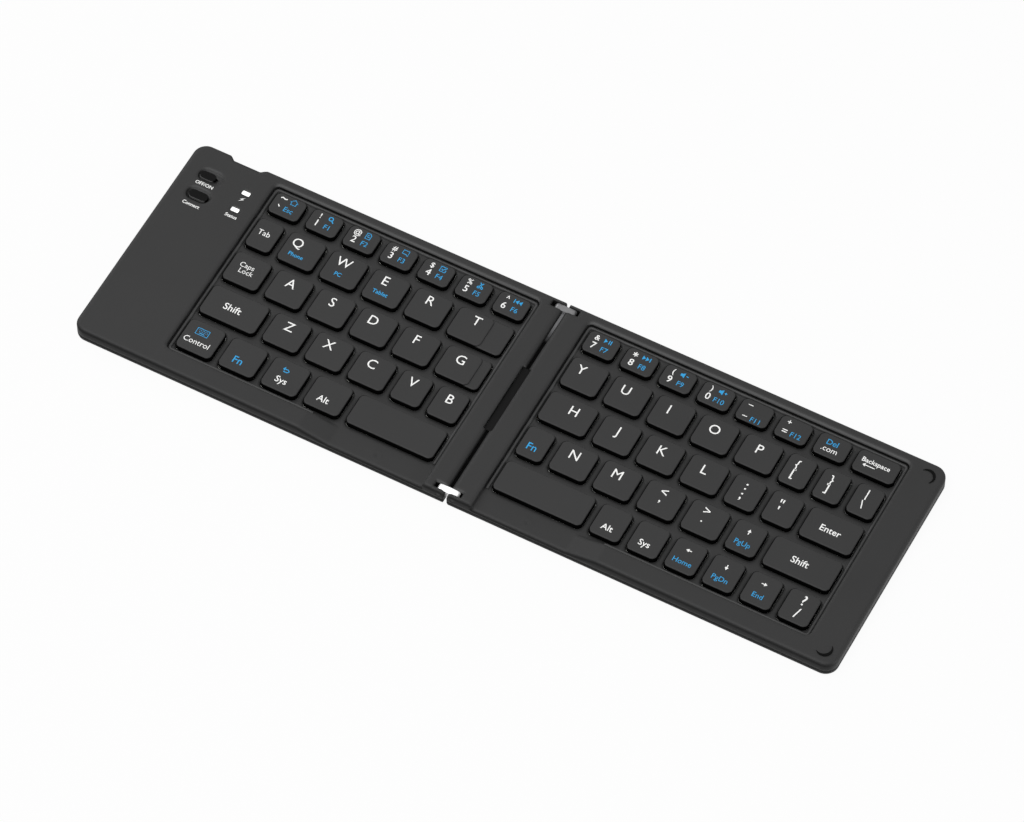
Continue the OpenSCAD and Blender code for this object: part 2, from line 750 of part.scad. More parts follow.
module lower_case(side) {
    difference() {
        union() {
            difference() {
                intersection() {
                    half_block(side);
                    translate([-half_length, -body_depth / 2, 0]) cube([2 * half_length, body_depth, seam_z]);
                }
                translate([0, 0, floor_z]) linear_extrude(shell_height) difference() {
                    inner_plan(side);
                    inner_blocks(side);
                }
            }
            screw_posts(side, floor_z - floor_skin / 2, seam_z);
            if (side == LEFT) board_posts();
        }
        seam_line();
        cover_notch();
        for (p = screw_points(side)) translate([p[0], p[1], 0]) {
            cylinder(r = screw_radius + screw_clearance, h = seam_z + cut);
            cylinder(r = screw_head_radius + screw_clearance, h = floor_z);
        }
        for (p = foot_points(side)) translate([p[0], p[1], 0])
            linear_extrude(foot_height + foot_seat) oval(foot_length, foot_width);
        if (side == LEFT) port_cut();
    }
}

module board_posts() {
    for (x = [board_x0 + board_post_inset, board_x1 - board_post_inset],
         y = [board_front + board_post_inset, board_rear - board_post_inset])
        translate([x, y, floor_z - floor_skin / 2])
            cylinder(r = board_post, h = board_z - floor_z + floor_skin / 2);
}

// ---------------------------------------------------------------- keys and what carries them

module keycap(side, row, i) {
    w = widths(side, row)[i];
    d = row_depth(row);
    height = key_z - skirt_z;
    translate([key_left(side, row, i), row_middle(row), skirt_z]) difference() {
        if (is_stepped(side, row, i)) {
            translate([w / 2, 0, 0]) soft_slab([w, d], height - step_drop, key_corner, key_edge);
            translate([stepped_key / 2, 0, 0]) soft_slab([stepped_key, d], height, key_corner, key_edge);
        } else {
            translate([w / 2, 0, 0]) soft_slab([w, d], height, key_corner, key_edge);
        }
        room = is_stepped(side, row, i) ? stepped_key : w;
        translate([room / 2, 0, -cut]) linear_extrude(height - key_roof + cut)
            rounded_rect([room - 2 * key_skirt, d - 2 * key_skirt], key_corner - key_skirt);
    }
}

module key_run(key) {
    color("#454648") for (i = [key[3]:key[3] + key[4] - 1]) keycap(key[1], key[2], i);
}

module well_plan(side, shrink) {
    translate([side * (strip(side) + well_length(side) / 2), (well_rear + well_front) / 2])
        square([well_length(side) - 2 * shrink, well_rear - well_front - 2 * shrink], center = true);
}

module key_plate(side) {
    color("#9a9da0") translate([0, 0, floor_z]) linear_extrude(plate_thickness) well_plan(side, 0);
}

// Contact membrane. The left one has a tail that runs under the main board.
module membrane(side) {
    color("#c9cfc8") translate([0, 0, plate_z]) linear_extrude(membrane_thickness) {
        well_plan(side, membrane_margin);
        if (side == LEFT) translate([board_x1 - tail_overlap, board_front + 2 * board_post_inset + board_post])
            square([tail_overlap - well_end(LEFT) - board_x1 + tail_root, tail_width]);
    }
}

module rubber_domes(side) {
    height = key_ceiling_z - membrane_z;
    color("#e4e4e0") for (row = [0:4], i = [0:len(rows(side)[row]) - 1])
        translate([key_middle(side, row, i), row_middle(row), membrane_z])
            cylinder(r1 = dome_radius, r2 = dome_top_radius, h = height);
}

// Two frames, one inside the other, that cross at their middles
module scissor(depth) {
    height = key_ceiling_z - membrane_z - scissor_room;
    tilt = asin((height - scissor_thickness) / depth);
    length = depth - scissor_thickness * sin(tilt) - scissor_room;
    inner_width = scissor_width - 2 * scissor_bar - 2 * scissor_clearance;
    translate([0, 0, (key_ceiling_z + membrane_z) / 2]) {
        rotate([tilt, 0, 0]) frame(scissor_width, length);
        rotate([-tilt, 0, 0]) frame(inner_width, length);
    }
}

module frame(width, depth) {
    difference() {
        cube([width, depth, scissor_thickness], center = true);
        cube([width - 2 * scissor_bar, depth - 2 * scissor_bar, scissor_thickness + cut], center = true);
    }
}

module scissor_frames(side) {
    color("#d8d8d4") for (row = [0:4], i = [0:len(rows(side)[row]) - 1])
        translate([key_middle(side, row, i), row_middle(row), 0])
            scissor(row_depth(row) - 2 * key_skirt - 3 * scissor_room);
}

// ---------------------------------------------------------------- hinge

module hinge_links() {
    color("#c8cacc") for (y = [-1, 1]) translate([0, y * link_offset, pivot_z]) rotate([90, 0, 0])
        linear_extrude(link_thickness, center = true) difference() {
            oval(axis_spacing + 2 * link_radius, 2 * link_radius);
            for (x = [-1, 1]) translate([x * axis_spacing / 2, 0]) circle(pin_radius + pin_clearance);
        }
}

module hinge_spine() {
    color("#b9bcbf") translate([-spine_thickness / 2, -link_inner, pivot_z - spine_below])
        cube([spine_thickness, 2 * link_inner, spine_below + spine_above]);
}

module spine_cover() {
    width = 2 * (notch_reach - cover_clearance);
    color("#1c1d1e") translate([-width / 2, -cover_length / 2, pivot_z + spine_above])
        cube([width, cover_length, cover_thickness]);
}

module hinge_pins(side) {
    color("#8d9093") for (y = [-1, 1]) translate([side * axis_spacing / 2, y * pin_middle, pivot_z])
        rotate([90, 0, 0]) cylinder(r = pin_radius, h = pin_length, center = true);
}

module flex_cable() {
    reach = [left_strip + cable_overlap, right_strip + cable_overlap];
    color("#8a5a22") translate([-reach[0], -cable_width / 2, membrane_z])
        cube([reach[0] + reach[1], cable_width, cable_thickness]);
}

// ---------------------------------------------------------------- electronics

module main_board() {
    port_room = [port_width + 2 * port_clearance, port_length + 2 * port_clearance];
    color("#1f4a35") difference() {
        translate([board_x0, board_front, board_z]) cube([board_x1 - board_x0, board_length, board_thickness]);
        translate([port_x - port_room[0] / 2, port_y - port_room[1], board_z - cut])
            cube([port_room[0], port_room[1] + cut, board_thickness + 2 * cut]);
    }
    // Slide switch, push switch, light sources, radio chip and its crystal
    color("#2a2c2e") {
        board_block([switch_x, switch_y], [slide_switch[0], slide_switch[1], cup_z - board_top_z - 2 * play]);
        board_block([switch_x, button_y],
                    [push_switch[0], push_switch[1], flange_z - button_travel - play - board_top_z]);
        for (i = [0, 1]) board_block([light_x, light_y - i * light_pitch], light_source);
        board_block([port_x + chip[0] / 2, button_y - chip[1]], chip);
        board_block([port_x - crystal[0], button_y - chip[1]], crystal);
    }
}

// A part that stands on the main board
module board_block(place, size) {
    translate([place[0] - size[0] / 2, place[1] - size[1] / 2, board_top_z]) cube(size);
}

module charging_port() {
    color("#b4b7ba") translate([port_x, port_y, port_z]) rotate([90, 0, 0]) {
        difference() {
            linear_extrude(port_length) oval(port_width, port_height);
            translate([0, 0, -cut]) linear_extrude(port_length - port_skin + cut)
                oval(port_width - 2 * port_skin, port_height - 2 * port_skin);
        }
        translate([-tongue[0] / 2, -tongue[1] / 2, tongue_depth])
            cube([tongue[0], tongue[1], port_length - tongue_depth - port_skin / 2]);
    }
}

// Pouch cell with its protection strip and two leads that end on the main board
module battery_pack() {
    color("#a9adb1") {
        translate([battery_x, -battery_forward, floor_z]) soft_slab(
            [battery_width, battery_length], battery_height, battery_corner, battery_edge, battery_edge);
        translate([battery_x - battery_width / 2 + strip_inset, battery_rear - battery_edge, strip_z])
            cube([battery_width - 2 * strip_inset, strip_depth + battery_edge, strip_thickness]);
    }
    color("#a32a26") for (x = [-1, 1]) battery_lead(battery_x + x * lead_pitch / 2);
}

module battery_lead(x) {
    rear = board_front + lead_overlap;
    stub = battery_rear + strip_depth - lead_radius;
    translate([x, stub, strip_z]) cylinder(r = lead_radius, h = lead_z - strip_z);
    translate([x, stub, lead_z]) sphere(lead_radius);
    translate([x, stub, lead_z]) rotate([-90, 0, 0]) cylinder(r = lead_radius, h = rear - stub);
}

module power_switch() {
    color("#151617") translate([knob_x, switch_y, 0]) {
        translate([0, 0, recess_z + play]) linear_extrude(recess_depth - button_sink - play)
            oval(knob_length, knob_width);
        translate([0, 0, cup_z - play]) linear_extrude(recess_floor + 4 * play) oval(stem_length, stem_width);
    }
}

module connect_button() {
    color("#151617") translate([switch_x, button_y, flange_z]) {
        linear_extrude(top_z - button_sink - flange_z) oval(button_length, button_width);
        linear_extrude(flange_thickness)
            oval(button_length + 2 * button_flange, button_width + 2 * button_flange);
    }
}

module indicator_lenses() {
    foot = board_top_z + light_source[2] + 2 * play;
    color("#f4f4f2") for (i = [0, 1]) translate([light_x, light_y - i * light_pitch, foot])
        linear_extrude(top_z - foot) rounded_rect([lens_length, lens_width], lens_corner);
}

module closing_magnets(side) {
    color("#b0b2b4") for (y = [-front_magnet, rear_magnet])
        translate([side * (half_length - magnet_inset), y, roof_z - magnet_thickness])
            cylinder(r = magnet_radius, h = magnet_thickness);
}

// ---------------------------------------------------------------- fixings, feet and bumpers

module screws(side) {
    color("#77797b") for (p = screw_points(side)) translate([p[0], p[1], floor_z]) difference() {
        union() {
            cylinder(r = screw_radius, h = screw_length);
            translate([0, 0, -screw_head]) cylinder(r = screw_head_radius, h = screw_head);
        }
        for (turn = [0, 90]) rotate(turn)
            translate([-screw_radius - drive_slot / 2, -drive_slot / 2, -screw_head - cut])
                cube([2 * screw_radius + drive_slot, drive_slot, cut + drive_depth]);
    }
}

module rubber_feet(side) {
    color("#1a1b1c") for (p = foot_points(side)) translate([p[0], p[1], 0])
        linear_extrude(foot_height + foot_seat) oval(foot_length, foot_width);
}

module corner_bumpers() {
    color("#232425") for (y = [-1, 1])
        translate([half_length - bumper_inset, y * (body_depth / 2 - bumper_inset), top_z]) rotate(y * 45)
            linear_extrude(bumper_rise) difference() {
                circle(bumper_radius);
                translate([-bumper_width, 0]) circle(bumper_radius);
            }
}

color("#3d3e40") upper_case(LEFT);  // left_upper_case
color("#3a3b3d") lower_case(LEFT);  // left_lower_case
color("#3d3e40") upper_case(RIGHT);  // right_upper_case
color("#3a3b3d") lower_case(RIGHT);  // right_lower_case
key_plate(LEFT);  // left_key_plate
key_plate(RIGHT);  // right_key_plate
membrane(LEFT);  // left_membrane
membrane(RIGHT);  // right_membrane
rubber_domes(LEFT);  // left_rubber_domes
rubber_domes(RIGHT);  // right_rubber_domes
scissor_frames(LEFT);  // left_scissor_frames
scissor_frames(RIGHT);  // right_scissor_frames
hinge_links();
hinge_spine();
spine_cover();
hinge_pins(LEFT);  // left_hinge_pins
hinge_pins(RIGHT);  // right_hinge_pins
flex_cable();
main_board();
charging_port();
battery_pack();
power_switch();
connect_button();
indicator_lenses();
closing_magnets(LEFT);  // left_closing_magnets
closing_magnets(RIGHT);  // right_closing_magnets
screws(LEFT);  // left_screws
screws(RIGHT);  // right_screws
rubber_feet(LEFT);  // left_rubber_feet
rubber_feet(RIGHT);  // right_rubber_feet
corner_bumpers();
for (key = KEY_NODES) key_run(key);
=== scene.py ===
import json
import math

import bmesh
import bpy
import numpy as np
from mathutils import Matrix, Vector

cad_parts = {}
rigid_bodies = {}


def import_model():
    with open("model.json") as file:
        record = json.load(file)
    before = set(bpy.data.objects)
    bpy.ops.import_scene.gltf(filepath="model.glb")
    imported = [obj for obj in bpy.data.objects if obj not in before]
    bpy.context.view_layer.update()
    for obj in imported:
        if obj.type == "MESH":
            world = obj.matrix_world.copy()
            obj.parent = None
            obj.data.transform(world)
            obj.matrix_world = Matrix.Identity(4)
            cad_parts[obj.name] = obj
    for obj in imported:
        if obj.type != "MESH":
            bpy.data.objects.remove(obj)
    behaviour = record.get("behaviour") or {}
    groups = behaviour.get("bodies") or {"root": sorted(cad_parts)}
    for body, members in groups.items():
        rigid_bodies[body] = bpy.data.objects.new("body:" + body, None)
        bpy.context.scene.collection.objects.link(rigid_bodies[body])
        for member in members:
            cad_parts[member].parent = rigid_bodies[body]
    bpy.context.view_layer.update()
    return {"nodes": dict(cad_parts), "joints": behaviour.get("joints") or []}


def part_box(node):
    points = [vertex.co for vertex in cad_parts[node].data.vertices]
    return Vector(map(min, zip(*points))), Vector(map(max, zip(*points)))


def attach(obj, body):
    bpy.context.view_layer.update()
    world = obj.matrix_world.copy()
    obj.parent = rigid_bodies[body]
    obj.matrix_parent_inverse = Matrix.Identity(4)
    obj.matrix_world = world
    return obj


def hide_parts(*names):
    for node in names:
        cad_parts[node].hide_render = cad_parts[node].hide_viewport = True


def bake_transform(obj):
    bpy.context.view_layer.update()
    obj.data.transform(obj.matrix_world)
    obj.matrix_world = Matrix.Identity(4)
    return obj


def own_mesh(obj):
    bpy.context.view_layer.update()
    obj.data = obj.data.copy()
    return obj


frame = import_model()
nodes = frame["nodes"]
MM = 0.001

# ------------------------------------------------------------------ case shells
# Four thin shells of black ABS, an upper and a lower one on each half. They are injection moulded in
# spark-eroded tools, which leave an even fine grain, and screwed together from below.

CASE_DARK = (0.0190, 0.0190, 0.0191, 1)
CASE_LIGHT = (0.0236, 0.0236, 0.0237, 1)
# painted shade and painted light for the case's faces that lean to the front
CASE_PAINTED_SHADE = (0.004, 0.004, 0.004, 1)
CASE_PAINTED_LIGHT = (0.085, 0.085, 0.0853, 1)
INNER_HALF = 147 * MM
INNER_DEPTH = 43.5 * MM
FOOT_LEVEL = 5.5 * MM
FOOT_FADE = 0.3 * MM
FRONTWARD = (0, -1, 0)
FRONT_LEAN = (0.3, 0.8)
CASE_ROUGHNESS = 0.5
CASE_SPECULAR = 0.14
CASE_EDGE = 1.8 * MM
EDGE_SAMPLES = 8
CLOUD_SIZE = 28 * MM
GRAIN_SIZE = 0.3 * MM
GRAIN_DEPTH = 0.006 * MM
SKIRT_UPRIGHT = (0.45, 0.9)
SKIRT_LEAN = (0.08, 0.3)
SKIRT_ROUGHNESS = 0.6
SKIRT_SPECULAR = 0.02


class Wire:
    """A value on its way through a finish. Sums on it add Math nodes, and node() adds any other node."""

    def __init__(self, tree, socket=None):
        self.tree = tree
        self.socket = socket

    def node(self, kind, settings=None, sockets=None, out=0):
        made = self.tree.nodes.new("ShaderNode" + kind)
        for name, value in (settings or {}).items():
            setattr(made, name, value)
        for name, value in (sockets or {}).items():
            if isinstance(value, Wire):
                self.tree.links.new(value.socket, made.inputs[name])
            else:
                made.inputs[name].default_value = value
        return Wire(self.tree, made.outputs[out]) if len(made.outputs) else made

    def maths(self, operation, first, second):
        return self.node("Math", {"operation": operation}, {0: first, 1: second})

    def __add__(self, other):
        return self.maths("ADD", self, other)

    __radd__ = __add__

    def __sub__(self, other):
        return self.maths("SUBTRACT", self, other)

    def __rsub__(self, other):
        return self.maths("SUBTRACT", other, self)

    def __mul__(self, other):
        return self.maths("MULTIPLY", self, other)


def start_finish(name):
    """A material with an empty tree, and the wire that starts in it."""
    material = bpy.data.materials.new(name)
    material.use_nodes = True
    material.node_tree.nodes.clear()
    return material, Wire(material.node_tree)


def surface(start, sockets):
    return start.node("BsdfPrincipled", {}, sockets)


def close_finish(start, shader):
    start.node("OutputMaterial", {}, {"Surface": shader})


def noise(start, place, size, detail=2.0):
    return start.node("TexNoise", {}, {"Vector": place, "Scale": 1 / size, "Detail": detail})


def blended(start, share, first, second):
    """The colour that lies the given share of the way from first to second."""
    return start.node("Mix", {"data_type": "RGBA"}, {0: share, 6: first, 7: second}, out=2)


def ramp(start, value, first, last):
    """0 up to the first value, 1 from the last one, and a straight rise between them."""
    return start.node("MapRange", {}, {0: value, 1: first, 2: last})


def leaning(start, normal, way, first, last):
    """How much a face leans one way of its own piece: 0 up to the first cosine, and 1 from the last one."""
    turned = {"vector_type": "NORMAL", "convert_from": "WORLD", "convert_to": "OBJECT"}
    own = start.node("VectorTransform", turned, {0: normal})
    lean = start.node("VectorMath", {"operation": "DOT_PRODUCT"}, {0: own, 1: way}, out=1)
    return ramp(start, lean, first, last)


def moulded(name, dark, light, roughness, specular, edge_radius=0.0, skirt=None, skirt_way=None, tint=None):
    """Moulded plastic with an even grain and eased edges. A skirt is painted shade, darker on the upright
    faces and on the edges that lean the skirt's way, and a tint paints light and shade into the colour from
    place to place."""
    material, start = start_finish(name)
    place = start.node("TexCoord", out="Object")
    cloud = noise(start, place, CLOUD_SIZE)
    grain = noise(start, place, GRAIN_SIZE, 3.0)
    relief = {"Strength": 0.5, "Distance": GRAIN_DEPTH, "Height": grain}
    if edge_radius:
        relief["Normal"] = start.node("Bevel", {"samples": EDGE_SAMPLES}, {"Radius": edge_radius})
    colour = blended(start, cloud * 0.6 + grain * 0.4, dark, light)
    shader = surface(
        start,
        {
            "Base Color": tint(start, place, relief["Normal"], colour) if tint else colour,
            "Roughness": roughness + (cloud - 0.5) * 0.14 + (grain - 0.5) * 0.08,
            "Specular IOR Level": specular,
            "Normal": start.node("Bump", {}, relief),
        },
    )
    # a skirt paints shade: near-black upright faces and a dark line on the edges that lean its way
    if skirt:
        facing = start.node("TexCoord", out="Normal")
        upright = 1 - start.node("SeparateXYZ", {}, {0: facing}, out=2)
        share = ramp(start, upright, *SKIRT_UPRIGHT)
        share = start.maths("MAXIMUM", share, leaning(start, relief["Normal"], skirt_way, *SKIRT_LEAN))
        skirt_shade = {"Base Color": skirt, "Roughness": SKIRT_ROUGHNESS, "Specular IOR Level": SKIRT_SPECULAR}
        side = surface(start, skirt_shade)
        shader = start.node("MixShader", {}, {0: share, 1: shader, 2: side})
    close_finish(start, shader)
    return material


def dress(material, *names):
    """Gives CAD nodes their finish."""
    for name in names:
        for held in nodes[name].material_slots:
            held.material = material


def case_painted_light_and_shade(start, place, normal, colour):
    """Painted light and shade: faces that lean to the front are painted pale in the wells and recesses, as if
    lit, and painted dark at their foot and outside, as if in shade.
    """
    spot = start.node("VectorMath", {"operation": "ABSOLUTE"}, {0: place})
    across = start.maths("LESS_THAN", start.node("SeparateXYZ", {}, {0: spot}, out=0), INNER_HALF)
    along = start.maths("LESS_THAN", start.node("SeparateXYZ", {}, {0: spot}, out=1), INNER_DEPTH)
    height = start.node("SeparateXYZ", {}, {0: place}, out=2)
    raised = ramp(start, height, FOOT_LEVEL, FOOT_LEVEL + FOOT_FADE)
    painted_wall = blended(start, across * along * raised, CASE_PAINTED_SHADE, CASE_PAINTED_LIGHT)
    return blended(start, leaning(start, normal, FRONTWARD, *FRONT_LEAN), colour, painted_wall)


# the case carries painted light and painted shade on its faces that lean to the front
case_finish = moulded(
    "case_plastic", CASE_DARK, CASE_LIGHT, CASE_ROUGHNESS, CASE_SPECULAR, CASE_EDGE, tint=case_painted_light_and_shade
)
dress(case_finish, "left_upper_case", "right_upper_case", "left_lower_case", "right_lower_case")

# ------------------------------------------------------------------ tray beads
# Each tray has a low round bead of ABS along its edge, a hair inside the rim, painted lighter than the
# rest as a painted highlight. It keeps dust away from the scissors, and stops where the rim falls to the
# tray's level.

TRAY_LEVEL = 4.4 * MM
WELL_CORNER = 2.0 * MM
# lighter than the case: a painted highlight along the bead
BEAD_HIGHLIGHT_DARK = (0.032, 0.032, 0.0322, 1)
BEAD_HIGHLIGHT_LIGHT = (0.040, 0.040, 0.0402, 1)
BEAD_WIDTH = 1.3 * MM
BEAD_HEIGHT = 0.85 * MM
BEAD_GROOVE = 0.3 * MM
BEAD_FOOT = 0.05 * MM
BEAD_END = 58 * MM
BEAD_STEPS = 8
CORNER_STEPS = 6
SHARP_ANGLE = math.radians(32)


def mesh_piece(name, parts, material, smooth_to=SHARP_ANGLE):
    """One object from several solids, smooth except where two faces meet at more than the given angle."""
    corners, faces = [], []
    for points, rows in parts:
        faces += [[int(n) + len(corners) for n in row] for row in rows]
        corners += list(points)
    mesh = bpy.data.meshes.new(name)
    mesh.from_pydata(corners, [], faces)
    body = bmesh.new()
    body.from_mesh(mesh)
    bmesh.ops.recalc_face_normals(body, faces=body.faces[:])
    for edge in body.edges:
        edge.smooth = len(edge.link_faces) == 2 and edge.calc_face_angle(0) < smooth_to
    for face in body.faces:
        face.smooth = True
    body.to_mesh(mesh)
    body.free()
    mesh.materials.append(material)
    piece = bpy.data.objects.new(name, mesh)
    bpy.context.scene.collection.objects.link(piece)
    return piece


def swept(path, section):
    """A solid bar along a path. The path has places and inward directions, the section insets and levels."""
    around = len(section)
    corners = [(x + u * inset, y + v * inset, level) for x, y, u, v in path for inset, level in section]
    faces = []
    for near in range(0, (len(path) - 1) * around, around):
        far = near + around
        faces += [[near + k, near + (k + 1) % around, far + (k + 1) % around, far + k] for k in range(around)]
    last = (len(path) - 1) * around
    faces += [list(range(around)), [last + k for k in reversed(range(around))]]
    return corners, faces


def bead_path(low, high, way):
    """Along a well's edge from its front by way of the outer end and the rear to the hinge strip."""
    outer, inner = (high.x, low.x) if way > 0 else (-low.x, -high.x)
    corner = WELL_CORNER
    front_outer = (outer - corner, low.y + corner, -90)
    rear_outer = (outer - corner, high.y - corner, 0)
    rear_inner = (inner + corner, high.y - corner, 90)
    path = [(BEAD_END, low.y, 0, 1)]
    for x, y, begin in (front_outer, rear_outer, rear_inner):
        for n in range(CORNER_STEPS + 1):
            turn = math.radians(begin + 90 * n / CORNER_STEPS)
            c, s = math.cos(turn), math.sin(turn)
            path.append((x + corner * c, y + corner * s, -c, -s))
    path.append((inner, low.y + corner, 1, 0))
    return [(way * x, y, way * u, v) for x, y, u, v in path]


def bead_section():
    middle = BEAD_GROOVE + BEAD_WIDTH / 2
    turns = [math.pi * n / BEAD_STEPS for n in range(BEAD_STEPS + 1)]
    crown = [(middle - BEAD_WIDTH / 2 * math.cos(t), TRAY_LEVEL + BEAD_HEIGHT * math.sin(t)) for t in turns]
    foot = TRAY_LEVEL - BEAD_FOOT
    return crown + [(BEAD_GROOVE + BEAD_WIDTH, foot), (BEAD_GROOVE, foot)]


# the bead's lighter colour is a painted highlight
bead_highlight_finish = moulded("bead_plastic", BEAD_HIGHLIGHT_DARK, BEAD_HIGHLIGHT_LIGHT, roughness=0.5, specular=0.2)
for side, way in (("left", -1), ("right", 1)):
    low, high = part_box(side + "_key_plate")
    bead = mesh_piece(side + "_tray_bead", [swept(bead_path(low, high, way), bead_section())], bead_highlight_finish)
    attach(bead, side + "_half")

# ------------------------------------------------------------- plates and films
# Under the keys of each half a zinc-plated steel plate carries the scissors, and on it lies a
# contact membrane: three layers of polyester film with printed silver tracks.

ZINC_DARK = (0.36, 0.37, 0.38, 1)
ZINC_LIGHT = (0.62, 0.63, 0.64, 1)
FILM_CLEAR = (0.55, 0.56, 0.52, 1)
TRACK_SILVER = (0.30, 0.31, 0.32, 1)
TRACK_PITCH = 1.6 * MM
TRACK_EDGE = (0.62, 0.7)
TRACK_DEPTH = 0.02 * MM
BAND_PERIOD = 0.31
SCRATCH_DEPTH = 0.003 * MM


def rolled_metal(name, dark, light, roughness, streak=(1, 14, 14), scratch_size=3 * MM):
    """Sheet or wire metal: streaks along the way it was rolled or brushed, and cloudy patches."""
    material, start = start_finish(name)
    place = start.node("TexCoord", out="Object")
    drawn = start.node("Mapping", {}, {"Vector": place, "Scale": streak})
    streaks = noise(start, drawn, scratch_size, 4.0)
    patches = noise(start, place, 4 * scratch_size)
    relief = start.node("Bump", {}, {"Strength": 0.3, "Distance": SCRATCH_DEPTH, "Height": streaks})
    sockets = {
        "Base Color": blended(start, streaks * 0.6 + patches * 0.4, dark, light),
        "Metallic": 1.0,
        "Roughness": roughness + (streaks - 0.5) * 0.2,
        "Normal": relief,
    }
    close_finish(start, surface(start, sockets))
    return material


def printed_film(name, film, track):
    """Polyester film with printed tracks that run side by side and turn where the noise bends them."""
    material, start = start_finish(name)
    place = start.node("TexCoord", out="Object")
    bands = {"Vector": place, "Scale": BAND_PERIOD / TRACK_PITCH, "Distortion": 2.5, "Detail": 0.0}
    waves = start.node("TexWave", {"bands_direction": "Y"}, bands)
    tracks = ramp(start, waves, *TRACK_EDGE)
    sockets = {
        "Base Color": blended(start, tracks, film, track),
        "Roughness": 0.42 - tracks * 0.15,
        "Normal": start.node("Bump", {}, {"Strength": 0.4, "Distance": TRACK_DEPTH, "Height": tracks}),
    }
    close_finish(start, surface(start, sockets))
    return material


dress(rolled_metal("zinc_plate", ZINC_DARK, ZINC_LIGHT, roughness=0.38), "left_key_plate", "right_key_plate")
dress(printed_film("contact_film", FILM_CLEAR, TRACK_SILVER), "left_membrane", "right_membrane")

# ----------------------------------------------------------- domes and scissors
# Every key stands on a moulded silicone dome, which pushes it up, inside a pair of crossed frames of
# black acetal, which keep it level. Both flatten as their key goes down.

SILICONE_DARK = (0.50, 0.51, 0.50, 1)
SILICONE_LIGHT = (0.66, 0.67, 0.65, 1)
ACETAL_DARK = (0.012, 0.012, 0.012, 1)
ACETAL_LIGHT = (0.022, 0.022, 0.022, 1)
WELD_PLACES = 6
SCISSOR_SHARE = 0.95

press_joints = {j["child"]: j for j in frame["joints"] if j["name"].endswith("_press")}
KEY_RUNS = sorted(name for name in press_joints if "key" in name)


def solids(name):
    """The separate solids of a CAD node, each as its corners and its triangles."""
    mesh = nodes[name].data
    mesh.calc_loop_triangles()
    spots = np.empty(3 * len(mesh.vertices))
    mesh.vertices.foreach_get("co", spots)
    rows = np.empty(3 * len(mesh.loop_triangles), dtype=int)
    mesh.loop_triangles.foreach_get("vertices", rows)
    corners, place = np.unique(spots.reshape(-1, 3).round(WELD_PLACES), axis=0, return_inverse=True)
    triangles = place.reshape(-1)[rows].reshape(-1, 3)
    owner = np.arange(len(corners))
    settled = False
    while not settled:
        lowest = owner.copy()
        np.minimum.at(lowest, triangles, owner[triangles].min(axis=1, keepdims=True))
        lowest = lowest[lowest]
        settled = np.array_equal(lowest, owner)
        owner = lowest
    found = []
    for solid in np.unique(owner):
        mine = np.flatnonzero(owner == solid)
        own_rows = np.searchsorted(mine, triangles[owner[triangles[:, 0]] == solid])
        found.append((corners[mine], own_rows))
    return found


def middle_of(corners):
    return (corners.min(axis=0) + corners.max(axis=0)) / 2


run_boxes = {run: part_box(run) for run in KEY_RUNS}
key_places = {run: sorted((middle_of(c) for c, _ in solids(run)), key=lambda m: m[0]) for run in KEY_RUNS}


def nearest_run(spot, side):
    """The key run that owns what lies under this spot. Caps are wider than what they stand on."""
    runs = [run for run in KEY_RUNS if press_joints[run]["parent"] == side + "_half"]

    def miss(run):
        low, high = run_boxes[run]
        across = max(low.x - spot[0], spot[0] - high.x, 0)
        along = max(low.y - spot[1], spot[1] - high.y, 0)
        return across + along

    return min(runs, key=miss)


def under_keys(node, suffix, material, share=1.0):
    """Pieces that stand for a node under the keys: one for each run of keys.
    Each solid keeps the given share of its width and depth about its own middle."""
    side = node.split("_")[0]
    owned = {}
    for corners, rows in solids(node):
        middle = middle_of(corners)
        fitted = middle + (corners - middle) * np.array((share, share, 1.0))
        owned.setdefault(nearest_run(middle, side), []).append((fitted, rows))
    for run, parts in sorted(owned.items()):
        piece = mesh_piece(run + suffix, parts, material)
        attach(piece, side + "_half")
        run + "_press"
        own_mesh(piece)
        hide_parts(node)


silicone = moulded("dome_silicone", SILICONE_DARK, SILICONE_LIGHT, roughness=0.55, specular=0.4)
acetal = moulded("scissor_acetal", ACETAL_DARK, ACETAL_LIGHT, roughness=0.42, specular=0.2)
for side in ("left", "right"):
    under_keys(side + "_rubber_domes", "_domes", silicone)
    under_keys(side + "_scissor_frames", "_scissors", acetal, SCISSOR_SHARE)

# --------------------------------------------------------------------- keycaps
# Sixty-seven low caps of black ABS, each clipped to its own scissor. The tops have the grain of the
# case. The upright skirts are painted near black as shade, and the painted shade runs over the left and the
# rear edges as a dark line.

CAP_DARK = (0.0205, 0.0205, 0.0206, 1)
CAP_LIGHT = (0.0252, 0.0252, 0.0253, 1)
# near black for the skirts and the left and rear edges: painted shade
CAP_SKIRT_SHADE = (0.0008, 0.0008, 0.0008, 1)
CAP_EDGE = 0.45 * MM
CAP_SHADE_WAY = (-0.95, 0.3, 0)

cap_finish = moulded(
    "keycap_plastic", CAP_DARK, CAP_LIGHT, CASE_ROUGHNESS, CASE_SPECULAR, CAP_EDGE, CAP_SKIRT_SHADE, CAP_SHADE_WAY
)
dress(cap_finish, *KEY_RUNS)

# --------------------------------------------------------------------- legends
# Pad-printed ink: white for what a key does by itself, blue for what it does with Fn. The ink stands
# a hair above the cap, and each run of caps carries its own print.

INK_THICKNESS = 0.02 * MM
INK_SINK = 0.004 * MM
INK_RELIEF = 0.004 * MM
INK_WORN = 0.92
WHITE_INK = (0.70, 0.70, 0.69, 1)
BLUE_INK = (0.025, 0.26, 0.52, 1)
LETTER = 3.75
DIGIT = 2.7
SYMBOL = 2.1
FUNCTION = 2.0
WORD = 2.2
SMALL = 1.6
STROKE = 0.3
RING_STEPS = 14


